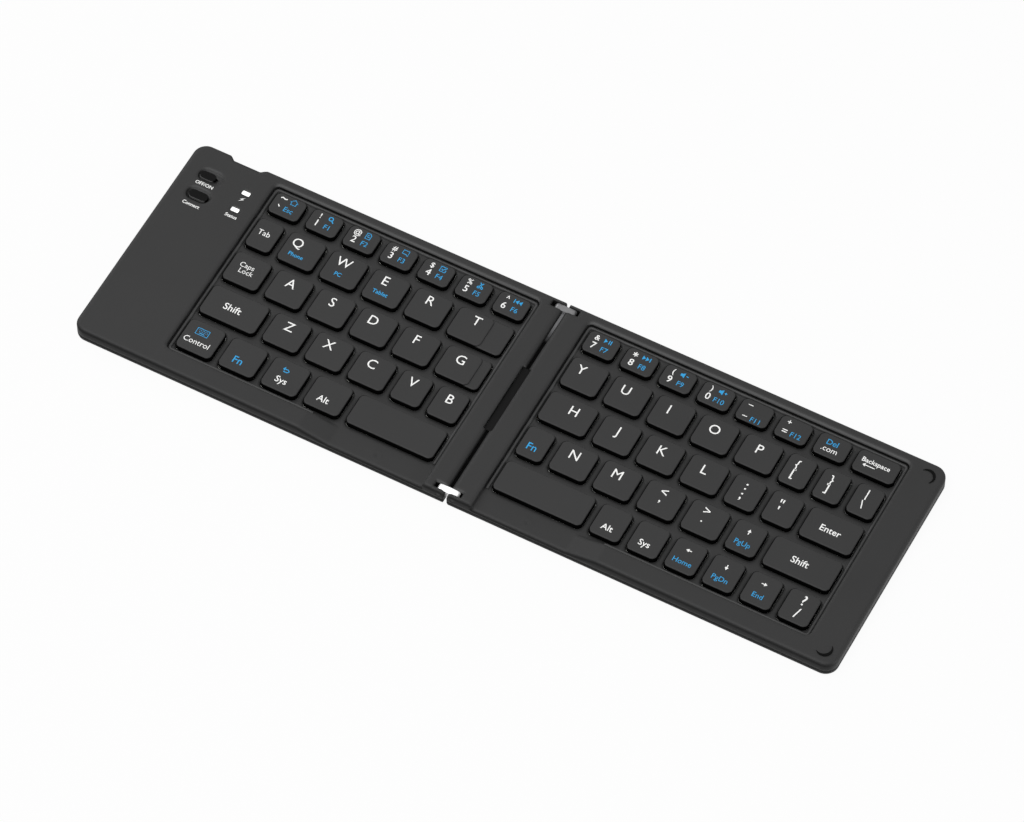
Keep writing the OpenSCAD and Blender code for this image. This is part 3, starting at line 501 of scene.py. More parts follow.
def ink(name, colour):
    """Matt printing ink, a little uneven where the pad pressed it on."""
    material, start = start_finish(name)
    place = start.node("TexCoord", out="Object")
    mottle = noise(start, place, 0.6 * MM, 3.0)
    worn = tuple(part * INK_WORN for part in colour[:3]) + (1,)
    sockets = {
        "Base Color": blended(start, mottle, worn, colour),
        "Roughness": 0.5 + (mottle - 0.5) * 0.2,
        "Specular IOR Level": 0.2,
        "Normal": start.node("Bump", {}, {"Strength": 0.2, "Distance": INK_RELIEF, "Height": mottle}),
    }
    close_finish(start, surface(start, sockets))
    return material


inks = {"white": ink("white_ink", WHITE_INK), "blue": ink("blue_ink", BLUE_INK)}
CAP_HEIGHT = 0.682
BOLDNESS = 0.03
PLAIN_HEIGHTS = (LETTER, WORD, FUNCTION)


class Stencil:
    """The marks of one colour on one piece, in millimetres on the plane z = top, drawn from a moving spot."""

    def __init__(self, top):
        self.top = top
        self.parts = []
        self.move_to(0, 0)

    def move_to(self, x, y, zoom=1.0):
        self.x = x
        self.y = y
        self.zoom = zoom

    def keep(self, curve, drop=0.0, flat=1.0):
        maker = bpy.data.objects.new("maker", curve)
        mesh = bpy.data.meshes.new_from_object(maker)
        spots = [
            ((v.co.x + self.x) * MM, (v.co.y + self.y - drop) * MM, self.top + v.co.z * MM * flat)
            for v in mesh.vertices
        ]
        self.parts.append((spots, [list(face.vertices) for face in mesh.polygons]))
        bpy.data.objects.remove(maker)
        bpy.data.meshes.remove(mesh)
        bpy.data.curves.remove(curve)

    def word(self, text, height):
        """Lettering whose middle is at the spot, with capitals of the given height."""
        curve = bpy.data.curves.new("word", "FONT")
        curve.body = text
        curve.size = height / CAP_HEIGHT
        curve.align_x = "CENTER"
        curve.resolution_u = 3
        curve.offset = 0 if height in PLAIN_HEIGHTS else BOLDNESS
        curve.extrude = INK_THICKNESS / MM
        self.keep(curve, drop=height / 2)

    def line(self, points, width=STROKE, closed=False):
        """A stroke of the pen through the points, which are taken from the spot."""
        curve = bpy.data.curves.new("line", "CURVE")
        curve.dimensions = "3D"
        curve.bevel_depth = width * self.zoom / 2
        curve.bevel_resolution = 1
        curve.use_fill_caps = True
        spline = curve.splines.new("POLY")
        spline.points.add(len(points) - 1)
        for spot, (u, v) in zip(spline.points, points):
            spot.co = (u * self.zoom, v * self.zoom, 0, 1)
        spline.use_cyclic_u = closed
        self.keep(curve, flat=INK_THICKNESS / MM / curve.bevel_depth)

    def patch(self, outline):
        """A filled shape with the given corners, which are taken from the spot."""
        count = len(outline)
        edge = [((u * self.zoom + self.x) * MM, (v * self.zoom + self.y) * MM) for u, v in outline]
        corners = [(x, y, self.top + level) for level in (-INK_THICKNESS, INK_THICKNESS) for x, y in edge]
        walls = [[n, (n + 1) % count, (n + 1) % count + count, n + count] for n in range(count)]
        self.parts.append((corners, walls + [list(range(count, 2 * count)), list(range(count))[::-1]]))

    def ring(self, radius, x=0.0, y=0.0, width=STROKE):
        """A round line about x, y."""
        turns = [math.radians(360 * n / RING_STEPS) for n in range(RING_STEPS)]
        self.line([(x + radius * math.cos(t), y + radius * math.sin(t)) for t in turns], width, True)


def draw_arrow(stencil, turn):
    """A short arrow with a solid head, turned by a number of degrees from pointing right."""
    outline = [(1.1, 0), (0, 0.72), (0, 0.17), (-1.1, 0.17), (-1.1, -0.17), (0, -0.17), (0, -0.72)]
    c, s = math.cos(math.radians(turn)), math.sin(math.radians(turn))
    stencil.patch([(u * c - v * s, u * s + v * c) for u, v in outline])


def draw_triangle(stencil, x, way, size=0.72):
    stencil.patch([(x + way * size * 0.8, 0), (x - way * size * 0.55, size), (x - way * size * 0.55, -size)])


def draw_speaker(stencil):
    outline = [(-0.9, -0.4), (-0.4, -0.4), (0.35, -0.9), (0.35, 0.9), (-0.4, 0.4), (-0.9, 0.4)]
    stencil.patch([(u - 0.35, v) for u, v in outline])


def draw_house(stencil):
    walls_and_roof = [(-0.8, -0.8), (0.8, -0.8), (0.8, 0.1), (1.2, 0.1), (0, 1.05), (-1.2, 0.1), (-0.8, 0.1)]
    stencil.line(walls_and_roof, 0.26, True)


def draw_search(stencil):
    stencil.ring(0.62, -0.2, 0.25)
    stencil.line([(0.25, -0.25), (0.95, -0.95)], 0.36)


def draw_page(stencil):
    stencil.line([(-0.75, -1.0), (0.75, -1.0), (0.75, 0.45), (0.25, 1.0), (-0.75, 1.0)], 0.26, True)
    stencil.line([(-0.4, -0.25), (0.4, -0.25)], 0.26)
    stencil.line([(-0.4, 0.3), (0.1, 0.3)], 0.26)


def draw_bubble(stencil):
    stencil.line([(-0.9, -0.5), (0.3, -0.5), (0.9, -1.0), (0.9, 0.8), (-0.9, 0.8)], 0.26, True)


def draw_tick(stencil):
    stencil.line([(0.9, 0.0), (0.9, -0.9), (-0.9, -0.9), (-0.9, 0.85), (0.4, 0.85)], 0.28)
    stencil.line([(-0.45, 0.05), (-0.1, -0.4), (0.95, 0.9)], 0.34)


def draw_scissors(stencil):
    for way in (-1, 1):
        stencil.line([(way * 0.5, 1.05), (-way * 0.4, -0.35)], 0.28)
        stencil.ring(0.32, way * 0.52, -0.65, 0.26)


def draw_previous(stencil):
    stencil.line([(-1.25, -0.68), (-1.25, 0.68)], 0.28)
    draw_triangle(stencil, -0.35, -1)
    draw_triangle(stencil, 0.75, -1)


def draw_next(stencil):
    draw_triangle(stencil, -0.75, 1)
    draw_triangle(stencil, 0.35, 1)
    stencil.line([(1.25, -0.68), (1.25, 0.68)], 0.28)


def draw_play(stencil):
    draw_triangle(stencil, -0.75, 1)
    for step in (0.35, 0.95):
        stencil.line([(step, -0.7), (step, 0.7)], 0.28)


def draw_quieter(stencil):
    draw_speaker(stencil)
    stencil.line([(0.5, 0), (1.25, 0)], 0.28)


def draw_louder(stencil):
    draw_quieter(stencil)
    stencil.line([(0.87, -0.38), (0.87, 0.38)], 0.28)


def draw_return(stencil):
    stencil.line([(-0.95, 0.5), (0.5, 0.5), (0.95, 0.05), (0.5, -0.45), (-0.7, -0.45)], 0.3)
    stencil.line([(-0.5, 1.0), (-1.0, 0.5), (-0.5, 0.0)], 0.3)


def draw_keyboard(stencil):
    stencil.line([(-1.75, -1.0), (1.75, -1.0), (1.75, 1.0), (-1.75, 1.0)], 0.22, True)
    for row, shift in ((0.5, 0), (0, 0.2)):
        for n in range(6):
            stencil.line([(-1.2 + n * 0.45 + shift, row), (-1.0 + n * 0.45 + shift, row)], 0.22)
    stencil.line([(-0.75, -0.5), (0.75, -0.5)], 0.22)


def draw_star(stencil):
    for turn in (90, 30, 150):
        c, s = math.cos(math.radians(turn)), math.sin(math.radians(turn))
        stencil.line([(-c, -s), (c, s)], 0.36)


def draw_dash(stencil):
    stencil.line([(-0.9, 0), (0.9, 0)], 0.32)


def draw_accent(stencil):
    stencil.line([(-0.35, 0.45), (0.35, -0.45)], 0.42)


def draw_long_arrow(stencil):
    stencil.line([(-1.6, 0), (2.2, 0)], 0.32)
    draw_triangle(stencil, -1.9, -1, 0.75)


# what stands where on a cap, in millimetres from its middle
LEFT_COLUMN = -2.55
RIGHT_COLUMN = 1.7
UPPER_LINE = 2.35
LOWER_LINE = -1.0
ICON_ZOOM = 1.25


def number_cap(symbol, digit, picture, function, lower=LOWER_LINE):
    """A cap of the number row: symbol over digit in white, picture over function number in blue."""
    marks = [("blue", function, FUNCTION, RIGHT_COLUMN + 0.1, lower - 0.3)]
    for what, size, v in ((symbol, SYMBOL, UPPER_LINE), (digit, DIGIT, lower)):
        marks.append(("white", what, size if isinstance(what, str) else 1, LEFT_COLUMN, v))
    if picture:
        marks.append(("blue", picture, ICON_ZOOM, RIGHT_COLUMN, UPPER_LINE))
    return marks


def letter_cap(letter, x, y=2.5, under=None):
    marks = [("white", letter, LETTER, x, y)]
    if under:
        marks.append(("blue", under, SMALL, -0.9, -2.6))
    return marks


def word_cap(text, height=WORD, x=-0.5, y=-2.1, colour="white"):
    return [(colour, text, height, x, y)]


def pair_cap(upper, lower, x, upper_y, lower_y, height=3.3):
    """A punctuation cap: the shifted mark over the plain one."""
    return [("white", upper, height, x, upper_y), ("white", lower, height, x, lower_y)]


def arrow_cap(turn, word):
    def picture(stencil):
        draw_arrow(stencil, turn)

    return [("white", picture, 1, 0, 2.6), ("blue", word, FUNCTION, -0.1, -2.6)]


LEGENDS = {
    "escape_key": [
        [("white", "~", 3.2, -2.65, 3.1), ("white", draw_accent, 1, -3.0, -0.8)]
        + [("blue", draw_house, ICON_ZOOM, 1.5, 2.5), ("blue", "Esc", FUNCTION, 1.1, -1.3)]
    ],
    "left_number_keys": [
        number_cap("!", "1", draw_search, "F1"),
        number_cap("@", "2", draw_page, "F2"),
        number_cap("#", "3", draw_bubble, "F3"),
        number_cap("$", "4", draw_tick, "F4"),
        number_cap("%", "5", draw_scissors, "F5"),
        number_cap("^", "6", draw_previous, "F6"),
    ],
    "tab_key": [word_cap("Tab", WORD, -0.4, 0.6)],
    "left_upper_letter_keys": [
        letter_cap("Q", -2.7, 2.6, "Phone"),
        letter_cap("W", -1.2, 2.9, "PC"),
        letter_cap("E", -1.6, 2.9, "Tablet"),
        letter_cap("R", -0.7, 2.9),
    ],
    "stepped_t_key": [letter_cap("T", -2.8, 3.0)],
    "caps_lock_key": [word_cap("Caps", 2.0, -0.7, 1.75) + word_cap("Lock", 2.0, 0, -0.8)],
    "left_home_letter_keys": [
        letter_cap("A", -0.4),
        letter_cap("S", -0.7),
        letter_cap("D", -1.4),
        letter_cap("F", -1.1),
    ],
    "stepped_g_key": [letter_cap("G", -1.95, 2.3)],
    "left_shift_key": [word_cap("Shift", 2.7, -0.5, -0.2)],
    "left_lower_letter_keys": [
        letter_cap("Z", -0.2),
        letter_cap("X", -1.3),
        letter_cap("C", -1.2),
        letter_cap("V", -0.6),
        letter_cap("B", -0.4, 2.3),
    ],
    "control_key": [word_cap("Control", 2.2, -0.45, -2.1) + [("blue", draw_keyboard, 1.35, -0.5, 2.4)]],
    "left_modifier_keys": [
        word_cap("Fn", 2.9, -0.9, -2.0, "blue"),
        word_cap("Sys", 2.5) + [("blue", draw_return, ICON_ZOOM, -0.85, 2.1)],
        word_cap("Alt", 2.5, -0.7, -2.2),
    ],
    "right_number_keys": [
        number_cap("&", "7", draw_play, "F7", -1.2),
        number_cap(draw_star, "8", draw_next, "F8", -1.35),
        number_cap("(", "9", draw_quieter, "F9", -1.3),
        number_cap(")", "0", draw_louder, "F10", -1.3),
        number_cap(draw_dash, draw_dash, None, "F11", -2.7),
        number_cap("+", "=", None, "F12", -1.7),
    ],
    "delete_key": [word_cap("Del", WORD, -0.5, 1.5, "blue") + word_cap(".com", WORD, -0.4, -1.4)],
    "backspace_key": [
        word_cap("Backspace", 1.8, -0.4, 0.9) + [("white", draw_long_arrow, 1, -2.2, -1.2)],
    ],
    "right_upper_letter_keys": [
        letter_cap("Y", -2.1, 2.1),
        letter_cap("U", -1.5, 1.8),
        letter_cap("I", -1.65, 1.8),
        letter_cap("O", -0.85, 1.8),
        letter_cap("P", -0.5, 1.8),
    ],
    "bracket_keys": [
        pair_cap("{", "[", -1.1, 2.4, -1.4),
        pair_cap("}", "]", -0.9, 2.4, -1.2),
        pair_cap("|", "\\", -0.5, 3.1, -1.8),
    ],
    "right_home_letter_keys": [
        letter_cap("H", 1.6, 1.8),
        letter_cap("J", -0.1, 1.8),
        letter_cap("K", -0.3, 1.7),
        letter_cap("L", -0.8, 1.7),
    ],
    "punctuation_keys": [
        pair_cap(":", ";", -0.6, 2.9, -1.3, 3.8),
        pair_cap('"', "'", -1.3, 1.5, -1.5, 3.8),
    ],
    "enter_key": [word_cap("Enter", 2.5, -0.2, -0.2)],
    "right_fn_key": [word_cap("Fn", 2.9, -0.3, -1.8, "blue")],
    "right_lower_letter_keys": [
        letter_cap("N", -0.6, 2.2),
        letter_cap("M", -1.0, 2.2),
        pair_cap("<", ",", -0.35, 3.4, 0.7),
        pair_cap(">", ".", -0.9, 3.5, 0.2),
    ],
    "up_arrow_key": [arrow_cap(90, "PgUp")],
    "right_shift_key": [word_cap("Shift", 2.6, -0.85, 0)],
    "right_modifier_keys": [word_cap("Alt", 2.4, -0.15, -2.4), word_cap("Sys", 2.4, -0.4, -2.1)],
    "arrow_keys": [arrow_cap(180, "Home"), arrow_cap(270, "PgDn"), arrow_cap(0, "End")],
    "slash_key": [pair_cap("?", "/", 0.4, 3.1, -2.4, 4.0)],
}


def print_marks(stencils, marks, x, y):
    """Puts a cap's marks on the stencils of their colours. x, y is the cap's middle, in millimetres."""
    for colour, what, size, u, v in marks:
        stencil = stencils[colour]
        if isinstance(what, str):
            stencil.move_to(x + u, y + v)
            stencil.word(what, size)
        else:
            stencil.move_to(x + u, y + v, size)
            what(stencil)


for run, caps in LEGENDS.items():
    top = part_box(run)[1].z + INK_THICKNESS - INK_SINK
    stencils = {colour: Stencil(top) for colour in inks}
    for spot, marks in zip(key_places[run], caps):
        print_marks(stencils, marks, spot[0] / MM, spot[1] / MM)
    for colour, stencil in stencils.items():
        if stencil.parts:
            piece = mesh_piece(f"{run}_{colour}_print", stencil.parts, inks[colour])
            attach(piece, run)

# ----------------------------------------------------------------------- hinge
# Two stamped links of bright steel join the halves, one at the front and one at the rear, on hard
# steel pins; the links are painted duller towards the rear as shade. A steel spine, painted near black as
# shade and with a painted glint at its rear end, lies between them in the gap.

BRIGHT = (0.95, 0.95, 0.95, 1)
# the links' duller rear is painted shade
LINK_SHADE = (0.15, 0.15, 0.153, 1)
LINK_SHADE_FROM = -20 * MM
LINK_SHADE_TO = 35 * MM
LINK_METALLIC = 0.35
# near black as painted shade, and a painted glint towards the rear end
SPINE_SHADE_DARK = (0.001, 0.001, 0.001, 1)
SPINE_SHADE_LIGHT = (0.0035, 0.0035, 0.0035, 1)
SPINE_GLINT = (0.13, 0.13, 0.134, 1)
GLINT_FROM = 28 * MM
GLINT_TO = 36 * MM
GLINT_RAGGED = 3 * MM
PIN_DARK = (0.006, 0.006, 0.006, 1)
PIN_LIGHT = (0.018, 0.018, 0.018, 1)


def stamped_steel():
    """Bright stamped steel with fine brushing, painted duller towards the rear as shade."""
    material, start = start_finish("bright_link")
    place = start.node("TexCoord", out="Object")
    brushing = noise(start, start.node("Mapping", {}, {"Vector": place, "Scale": (1, 6, 1)}), 1.5 * MM, 4.0)
    along = start.node("SeparateXYZ", {}, {0: place}, out=1)
    rear_shade = ramp(start, along, LINK_SHADE_FROM, LINK_SHADE_TO) + (brushing - 0.5) * 0.1
    sockets = {
        "Base Color": blended(start, rear_shade, BRIGHT, LINK_SHADE),
        "Metallic": LINK_METALLIC,
        "Roughness": 0.3 + (brushing - 0.5) * 0.2,
        "Normal": start.node("Bump", {}, {"Strength": 0.3, "Distance": SCRATCH_DEPTH, "Height": brushing}),
    }
    close_finish(start, surface(start, sockets))
    return material


dress(stamped_steel(), "hinge_links")


def shaded_steel_with_glint():
    """Steel painted near black as shade, with a painted glint towards its rear end."""
    material, start = start_finish("blackened_spine")
    place = start.node("TexCoord", out="Object")
    streaks = noise(start, place, 0.8 * MM, 4.0)
    rear = start.node("SeparateXYZ", {}, {0: place}, out=1) + (streaks - 0.5) * GLINT_RAGGED
    glint = ramp(start, rear, GLINT_FROM, GLINT_TO)
    shaded_black = blended(start, streaks, SPINE_SHADE_DARK, SPINE_SHADE_LIGHT)
    sockets = {
        "Base Color": blended(start, glint, shaded_black, SPINE_GLINT),
        "Metallic": 1.0,
        "Roughness": 0.32 + (streaks - 0.5) * 0.2,
        "Normal": start.node("Bump", {}, {"Strength": 0.3, "Distance": SCRATCH_DEPTH, "Height": streaks}),
    }
    close_finish(start, surface(start, sockets))
    return material


dress(shaded_steel_with_glint(), "hinge_spine")
pin_steel = rolled_metal("hard_pin", PIN_DARK, PIN_LIGHT, 0.34, streak=(1, 0.2, 1), scratch_size=0.4 * MM)
dress(pin_steel, "left_hinge_pins", "right_hinge_pins")

# ---------------------------------------------------------------- spine cover
# A strip of soft black rubber over the middle of the spine hides the cable. Its two flanks give way
# as the halves close on them.

COVER_DARK = (0.0025, 0.0025, 0.0025, 1)
COVER_LIGHT = (0.005, 0.005, 0.005, 1)
COVER_ROUND = 0.22 * MM
COVER_CORNER = 0.35 * MM
COVER_STEPS = 4


def cover_flank(way):
    """One flank: a flat-bottomed bar with rounded upper edge and ends, from the middle plane outwards."""
    low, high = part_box("spine_cover")
    wide, deep = high.x, high.y
    steps = COVER_STEPS
    rows = []
    for inset, level in [(0, low.z)] + [
        (COVER_ROUND * (1 - math.cos(t)), high.z - COVER_ROUND * (1 - math.sin(t)))
        for t in (math.radians(90 * n / steps) for n in range(steps + 1))
    ]:
        edge_x, edge_y = wide - inset, deep - inset
        corner = COVER_CORNER
        row = [(0, -edge_y)]
        row += [
            (edge_x - corner + corner * math.cos(t), -edge_y + corner + corner * math.sin(t))
            for t in (math.radians(-90 + 90 * n / steps) for n in range(steps + 1))
        ]
        row += [
            (edge_x - corner + corner * math.cos(t), edge_y - corner + corner * math.sin(t))
            for t in (math.radians(90 * n / steps) for n in range(steps + 1))
        ]
        row += [(0, edge_y)]
        rows.append([Vector((way * u, v, level)) for u, v in row])
    around = len(rows[0])
    corners = [corner for row in rows for corner in row]
    faces = []
    for near in range(0, (len(rows) - 1) * around, around):
        far = near + around
        faces += [[near + n, near + (n + 1) % around, far + (n + 1) % around, far + n] for n in range(around)]
    faces.append(list(range(around))[::-1])
    faces.append([(len(rows) - 1) * around + n for n in range(around)])
    return corners, faces


cover_rubber = moulded("cover_rubber", COVER_DARK, COVER_LIGHT, roughness=0.62, specular=0.06)
for side, way in (("left", -1), ("right", 1)):
    flank = mesh_piece(f"spine_cover_{side}_flank", [cover_flank(way)], cover_rubber)
    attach(flank, "hinge_link")
    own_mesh(flank)
    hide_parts("spine_cover")

# ---------------------------------------------------------------- flat cable
# A polyimide ribbon with copper tracks runs from the board through the gap to the right half. It is
# made as two lengths that meet under the spine.

RIBBON_AMBER = (0.12, 0.055, 0.012, 1)
RIBBON_TRACK = (0.38, 0.21, 0.08, 1)
RIBBON_TRACKS = 14
RIBBON_STEPS = 40
RIBBON_TRACK_EDGE = (0.45, 0.55)
ABOVE_ZERO = 100.0
fold_x = abs(next(j for j in frame["joints"] if j["name"] == "left_fold")["pos_m"][0])


def ribbon_finish():
    material, start = start_finish("polyimide_ribbon")
    place = start.node("TexCoord", out="Object")
    low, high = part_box("flex_cable")
    across = start.node("SeparateXYZ", {}, {0: place}, out=1) * (RIBBON_TRACKS / (high.y - low.y))
    phase = start.node("Math", {"operation": "FRACT"}, {0: across + ABOVE_ZERO})
    tracks = ramp(start, phase, *RIBBON_TRACK_EDGE)
    mottle = noise(start, place, 1.5 * MM, 3.0)
    sockets = {
        "Base Color": blended(start, tracks * (0.85 + mottle * 0.15), RIBBON_AMBER, RIBBON_TRACK),
        "Roughness": 0.36 + (mottle - 0.5) * 0.15,
        "Normal": start.node("Bump", {}, {"Strength": 0.5, "Distance": TRACK_DEPTH, "Height": tracks}),
    }
    close_finish(start, surface(start, sockets))
    return material


def ribbon_length(begin, end):
    """A thin strip from one x to another, cut into short steps."""
    low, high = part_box("flex_cable")
    stations = [begin + (end - begin) * n / RIBBON_STEPS for n in range(RIBBON_STEPS + 1)]
    section = [(low.y, low.z), (high.y, low.z), (high.y, high.z), (low.y, high.z)]
    corners = [Vector((x, y, z)) for x in stations for y, z in section]
    faces = []
    for near in range(0, 4 * RIBBON_STEPS, 4):
        faces += [[near + k, near + (k + 1) % 4, near + 4 + (k + 1) % 4, near + 4 + k] for k in range(4)]
    faces += [[0, 1, 2, 3], [4 * RIBBON_STEPS + k for k in (3, 2, 1, 0)]]
    return corners, faces


ribbon = ribbon_finish()
ribbon_low, ribbon_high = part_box("flex_cable")
for side, begin, end, first, second in (
    ("left", ribbon_low.x, 0, "left_half", "hinge_link"),
    ("right", 0, ribbon_high.x, "hinge_link", "right_half"),
):
    length = mesh_piece(f"flex_cable_{side}_length", [ribbon_length(begin, end)], ribbon)
    centre = -fold_x if side == "left" else fold_x
    centre - fold_x
    centre + fold_x
    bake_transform(length)
    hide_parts("flex_cable")

# --------------------------------------------------------- board, port, battery
# In the end compartment lie a green circuit board with its parts, a steel charging socket, and a flat
# lithium cell in silver foil with its protection strip and leads.

BOARD_GREEN = (0.008, 0.055, 0.022, 1)
BOARD_TRACK = (0.03, 0.13, 0.06, 1)
# painted shade below the slot of the slide switch
BOARD_PAINTED_SHADE = (0.004, 0.004, 0.004, 1)
SHADE_REACH = 6 * MM
SHADE_FADE = 0.3 * MM
PAD_SIZE = 1.4 * MM
PAD_EDGE = (0.32, 0.36)
CREASE_SIZE = 6 * MM
CREASE_DEPTH = 0.1 * MM
NICKEL_DARK = (0.48, 0.47, 0.45, 1)
NICKEL_LIGHT = (0.74, 0.73, 0.70, 1)
FOIL_DARK = (0.50, 0.51, 0.52, 1)
FOIL_LIGHT = (0.72, 0.73, 0.74, 1)


def circuit_board():
    """Solder mask over copper tracks, green but for a spot of painted shade below the slot of the slide
    switch.
    """
    material, start = start_finish("circuit_board")
    place = start.node("TexCoord", out="Object")
    cells = start.node("TexVoronoi", {"distance": "CHEBYCHEV"}, {"Vector": place, "Scale": 1 / PAD_SIZE})
    tracks = ramp(start, cells, *PAD_EDGE)
    weave = noise(start, place, 0.4 * MM, 2.0)
    low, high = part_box("power_switch")
    away = start.node("VectorMath", {"operation": "DISTANCE"}, {0: place, 1: (low + high) / 2}, out=1)
    beyond = ramp(start, away, SHADE_REACH, SHADE_REACH + SHADE_FADE)
    green = blended(start, tracks * 0.8 + weave * 0.2, BOARD_GREEN, BOARD_TRACK)
    sockets = {
        "Base Color": blended(start, beyond, BOARD_PAINTED_SHADE, green),
        "Roughness": 0.3 + weave * 0.15,
        "Normal": start.node("Bump", {}, {"Strength": 0.5, "Distance": 0.03 * MM, "Height": tracks}),
    }
    close_finish(start, surface(start, sockets))
    return material


def crinkled_foil():
    material, start = start_finish("cell_foil")
    place = start.node("TexCoord", out="Object")
    cells = {"Vector": place, "Scale": 1 / CREASE_SIZE}
    creases = start.node("TexVoronoi", {"feature": "DISTANCE_TO_EDGE"}, cells)
    mottle = noise(start, place, 2 * MM, 4.0)
    relief = {"Strength": 0.4, "Distance": CREASE_DEPTH, "Height": creases + mottle * 0.3}
    sockets = {
        "Base Color": blended(start, mottle, FOIL_DARK, FOIL_LIGHT),
        "Metallic": 0.9,
        "Roughness": 0.36 + (mottle - 0.5) * 0.2,
        "Normal": start.node("Bump", {}, relief),
    }
    close_finish(start, surface(start, sockets))
    return material


dress(circuit_board(), "main_board")
socket_nickel = rolled_metal(
    "nickel_socket", NICKEL_DARK, NICKEL_LIGHT, 0.28, streak=(1, 8, 1), scratch_size=0.7 * MM
)
dress(socket_nickel, "charging_port")
dress(crinkled_foil(), "battery_pack")

# --------------------------------------------------- switch, button and lights
# The slide knob and the button are glossy black caps in the end panel's two recesses, with a painted
# highlight on their front edges, and two clear windows beside them, over the lamps on the board, carry a
# painted glow.

GLOSS_DARK = (0.0015, 0.0015, 0.0015, 1)
GLOSS_LIGHT = (0.003, 0.003, 0.003, 1)
GLOSS_EDGE = 0.4 * MM
# pale front edges of the knob and button: a painted highlight
GLOSS_HIGHLIGHT = (0.10, 0.10, 0.10, 1)
HIGHLIGHT_WAY = (-0.35, -0.94, 0)
HIGHLIGHT_LEAN = (0.3, 0.6)
# the lenses' glow is painted light
LENS_PAINTED_GLOW = 0.35
LENS_EDGE = (0.70, 0.70, 0.69, 1)
LENS_MIDDLE = (0.86, 0.86, 0.85, 1)


def painted_edge_highlight(start, place, normal, colour):
    """A painted highlight makes the front edge pale."""
    return blended(start, leaning(start, normal, HIGHLIGHT_WAY, *HIGHLIGHT_LEAN), colour, GLOSS_HIGHLIGHT)


knob_finish = moulded(
    "switch_black", GLOSS_DARK, GLOSS_LIGHT, 0.4, 0.06, edge_radius=GLOSS_EDGE, tint=painted_edge_highlight
)
dress(knob_finish, "power_switch", "connect_button")


def milky_lens():
    """Milky acrylic with an even painted glow; no lamp below lights it."""
    material, start = start_finish("milky_lens")
    place = start.node("TexCoord", out="Object")
    mottle = noise(start, place, 1.2 * MM, 2.0)
    sockets = {
        "Base Color": blended(start, mottle, LENS_EDGE, LENS_MIDDLE),
        "Roughness": 0.22 + (mottle - 0.5) * 0.1,
        "Emission Color": blended(start, mottle, LENS_EDGE, LENS_MIDDLE),
        "Emission Strength": LENS_PAINTED_GLOW,
        "Normal": start.node("Bump", {}, {"Strength": 0.1, "Distance": 0.01 * MM, "Height": mottle}),
    }
    close_finish(start, surface(start, sockets))
    return material


dress(milky_lens(), "indicator_lenses")

# ---------------------------------------------------------------- panel labels
# White pad print on the end panel: the switch's two states, the button's word, and a word and a
# charging sign under the two windows.

PANEL_LABEL = 1.35
LABELS = [("OFF/ON", -140.1, 29.8), ("Connect", -140.1, 20.0), ("Status", -124.8, 22.3)]
BOLT = [(0.95, 1.15), (-0.75, -0.1), (-0.05, -0.05), (-0.95, -1.25), (0.75, 0.1), (0.05, 0.1)]
BOLT_PLACE = (-124.9, 30.5)

panel = Stencil(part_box("indicator_lenses")[1].z + INK_THICKNESS - INK_SINK)
for text, x, y in LABELS:
    panel.move_to(x, y)
    panel.word(text, PANEL_LABEL)
panel.move_to(*BOLT_PLACE)
panel.patch(BOLT)
panel_print = mesh_piece("end_panel_print", panel.parts, inks["white"])
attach(panel_print, "left_half")

# ------------------------------------------------ magnets, screws, feet, bumpers
# Nickel-plated magnets hold the folded halves together. Blackened screws close the cases from below,
# where soft rubber feet are glued on, and rubber crescents guard two corners of the top.

RUBBER_DARK = (0.011, 0.011, 0.011, 1)
RUBBER_LIGHT = (0.019, 0.019, 0.019, 1)

magnet_nickel = rolled_metal(
    "nickel_magnet", NICKEL_DARK, NICKEL_LIGHT, 0.3, streak=(1, 1, 6), scratch_size=1.5 * MM
)
dress(magnet_nickel, "left_closing_magnets", "right_closing_magnets")
screw_steel = rolled_metal("black_screw", PIN_DARK, PIN_LIGHT, 0.38, streak=(1, 1, 1), scratch_size=0.8 * MM)
dress(screw_steel, "left_screws", "right_screws")
foot_rubber = moulded("foot_rubber", RUBBER_DARK, RUBBER_LIGHT, roughness=0.7, specular=0.2)
dress(foot_rubber, "left_rubber_feet", "right_rubber_feet")
bumper_rubber = moulded("bumper_rubber", GLOSS_DARK, GLOSS_LIGHT, roughness=0.65, specular=0.04)
dress(bumper_rubber, "corner_bumpers")

# ---------------------------------------------------------------------- studio
# A white table in a light tent: one large soft lamp overhead, weaker ones behind on the left, low on the
# right and in front, and light from the tent all round. The table keeps a faint shadow.

TABLE_SIZE = 8.0
TABLE_WHITE = (0.36, 0.36, 0.36, 1)
TABLE_GLOW = 1.02
TABLE_CLEAR = 0.93
TENT_LIGHT = 0.42


def seen_whole(start):
    """1 for rays that show the white around, also in metal or through glass, and 0 for those that light."""
    camera = start.node("LightPath", out="Is Camera Ray")
    mirrored = start.node("LightPath", out="Is Glossy Ray")
    through = start.node("LightPath", out="Is Transmission Ray")
    return start.maths("MAXIMUM", start.maths("MAXIMUM", camera, mirrored), through)


def table_top():
    material, start = start_finish("white_table")
    plain = start.node("BsdfDiffuse", {}, {"Color": TABLE_WHITE})
    bright = start.node("Emission", {}, {"Color": (1, 1, 1, 1), "Strength": TABLE_GLOW})
    shown = start.node("MixShader", {}, {0: seen_whole(start) * TABLE_CLEAR, 1: plain, 2: bright})
    start.node("OutputMaterial", {}, {"Surface": shown})
    mesh = bpy.data.meshes.new("table")
    half = TABLE_SIZE / 2
    corners = [(-half, -half, 0), (half, -half, 0), (half, half, 0), (-half, half, 0)]
    mesh.from_pydata(corners, [], [[0, 1, 2, 3]])
    mesh.materials.append(material)
    table = bpy.data.objects.new("table", mesh)
    bpy.context.scene.collection.objects.link(table)


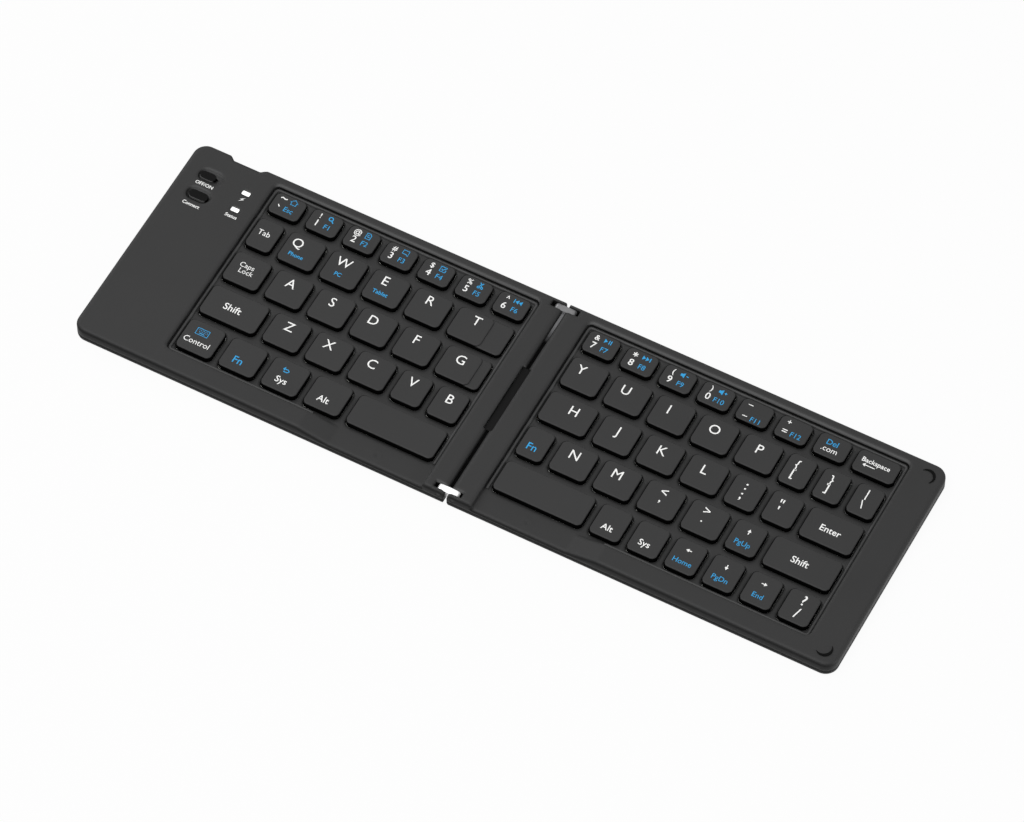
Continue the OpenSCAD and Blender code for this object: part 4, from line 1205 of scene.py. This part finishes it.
def tent():
    world = bpy.data.worlds.new("tent")
    world.use_nodes = True
    world.node_tree.nodes.clear()
    start = Wire(world.node_tree)
    dim = start.node("Background", {}, {"Color": (1, 1, 1, 1), "Strength": TENT_LIGHT})
    full = start.node("Background", {}, {"Color": (1, 1, 1, 1), "Strength": 1.0})
    shown = start.node("MixShader", {}, {0: seen_whole(start), 1: dim, 2: full})
    start.node("OutputWorld", {}, {"Surface": shown})
    bpy.context.scene.world = world


def soft_lamp(name, place, watts, size):
    """A square lamp that faces the keyboard's middle."""
    light = bpy.data.lights.new(name, "AREA")
    light.energy = watts
    light.size = size
    lamp = bpy.data.objects.new(name, light)
    lamp.location = place
    lamp.rotation_euler = (-Vector(place)).to_track_quat("-Z", "Y").to_euler()
    bpy.context.scene.collection.objects.link(lamp)


table_top()
tent()
soft_lamp("overhead_lamp", (-0.35, -0.35, 1.6), watts=22.0, size=0.9)
soft_lamp("rear_left_lamp", (-1.3, 0.7, 1.0), watts=7.0, size=0.8)
soft_lamp("right_lamp", (1.4, 0.1, 0.3), watts=7.0, size=0.6)
soft_lamp("front_lamp", (0.3, -1.3, 1.0), watts=6.0, size=0.7)

# the camera stands where the photograph's did, far off with a long lens
SENSOR_WIDTH = 36.0
PHOTO_WIDTH = 1024
FOCAL_PIXELS = 6084.0
CAMERA_ELEVATION = math.radians(56.34)
CAMERA_AZIMUTH = math.radians(28.19)
CAMERA_DISTANCE = 2147.8 * MM
CAMERA_TARGET = Vector((2.11, -0.59, 0.6)) * MM

back = Vector(
    (
        math.sin(CAMERA_AZIMUTH) * math.cos(CAMERA_ELEVATION),
        -math.cos(CAMERA_AZIMUTH) * math.cos(CAMERA_ELEVATION),
        math.sin(CAMERA_ELEVATION),
    )
)
lens = bpy.data.cameras.new("camera")
lens.sensor_width = SENSOR_WIDTH
lens.lens = FOCAL_PIXELS / PHOTO_WIDTH * SENSOR_WIDTH
lens.clip_start = 0.1
lens.clip_end = 20.0
camera = bpy.data.objects.new("camera", lens)
camera.location = CAMERA_TARGET + back * CAMERA_DISTANCE
camera.rotation_euler = (-back).to_track_quat("-Z", "Y").to_euler()
bpy.context.scene.collection.objects.link(camera)
bpy.context.scene.camera = camera
bpy.context.scene.view_settings.view_transform = "Standard"
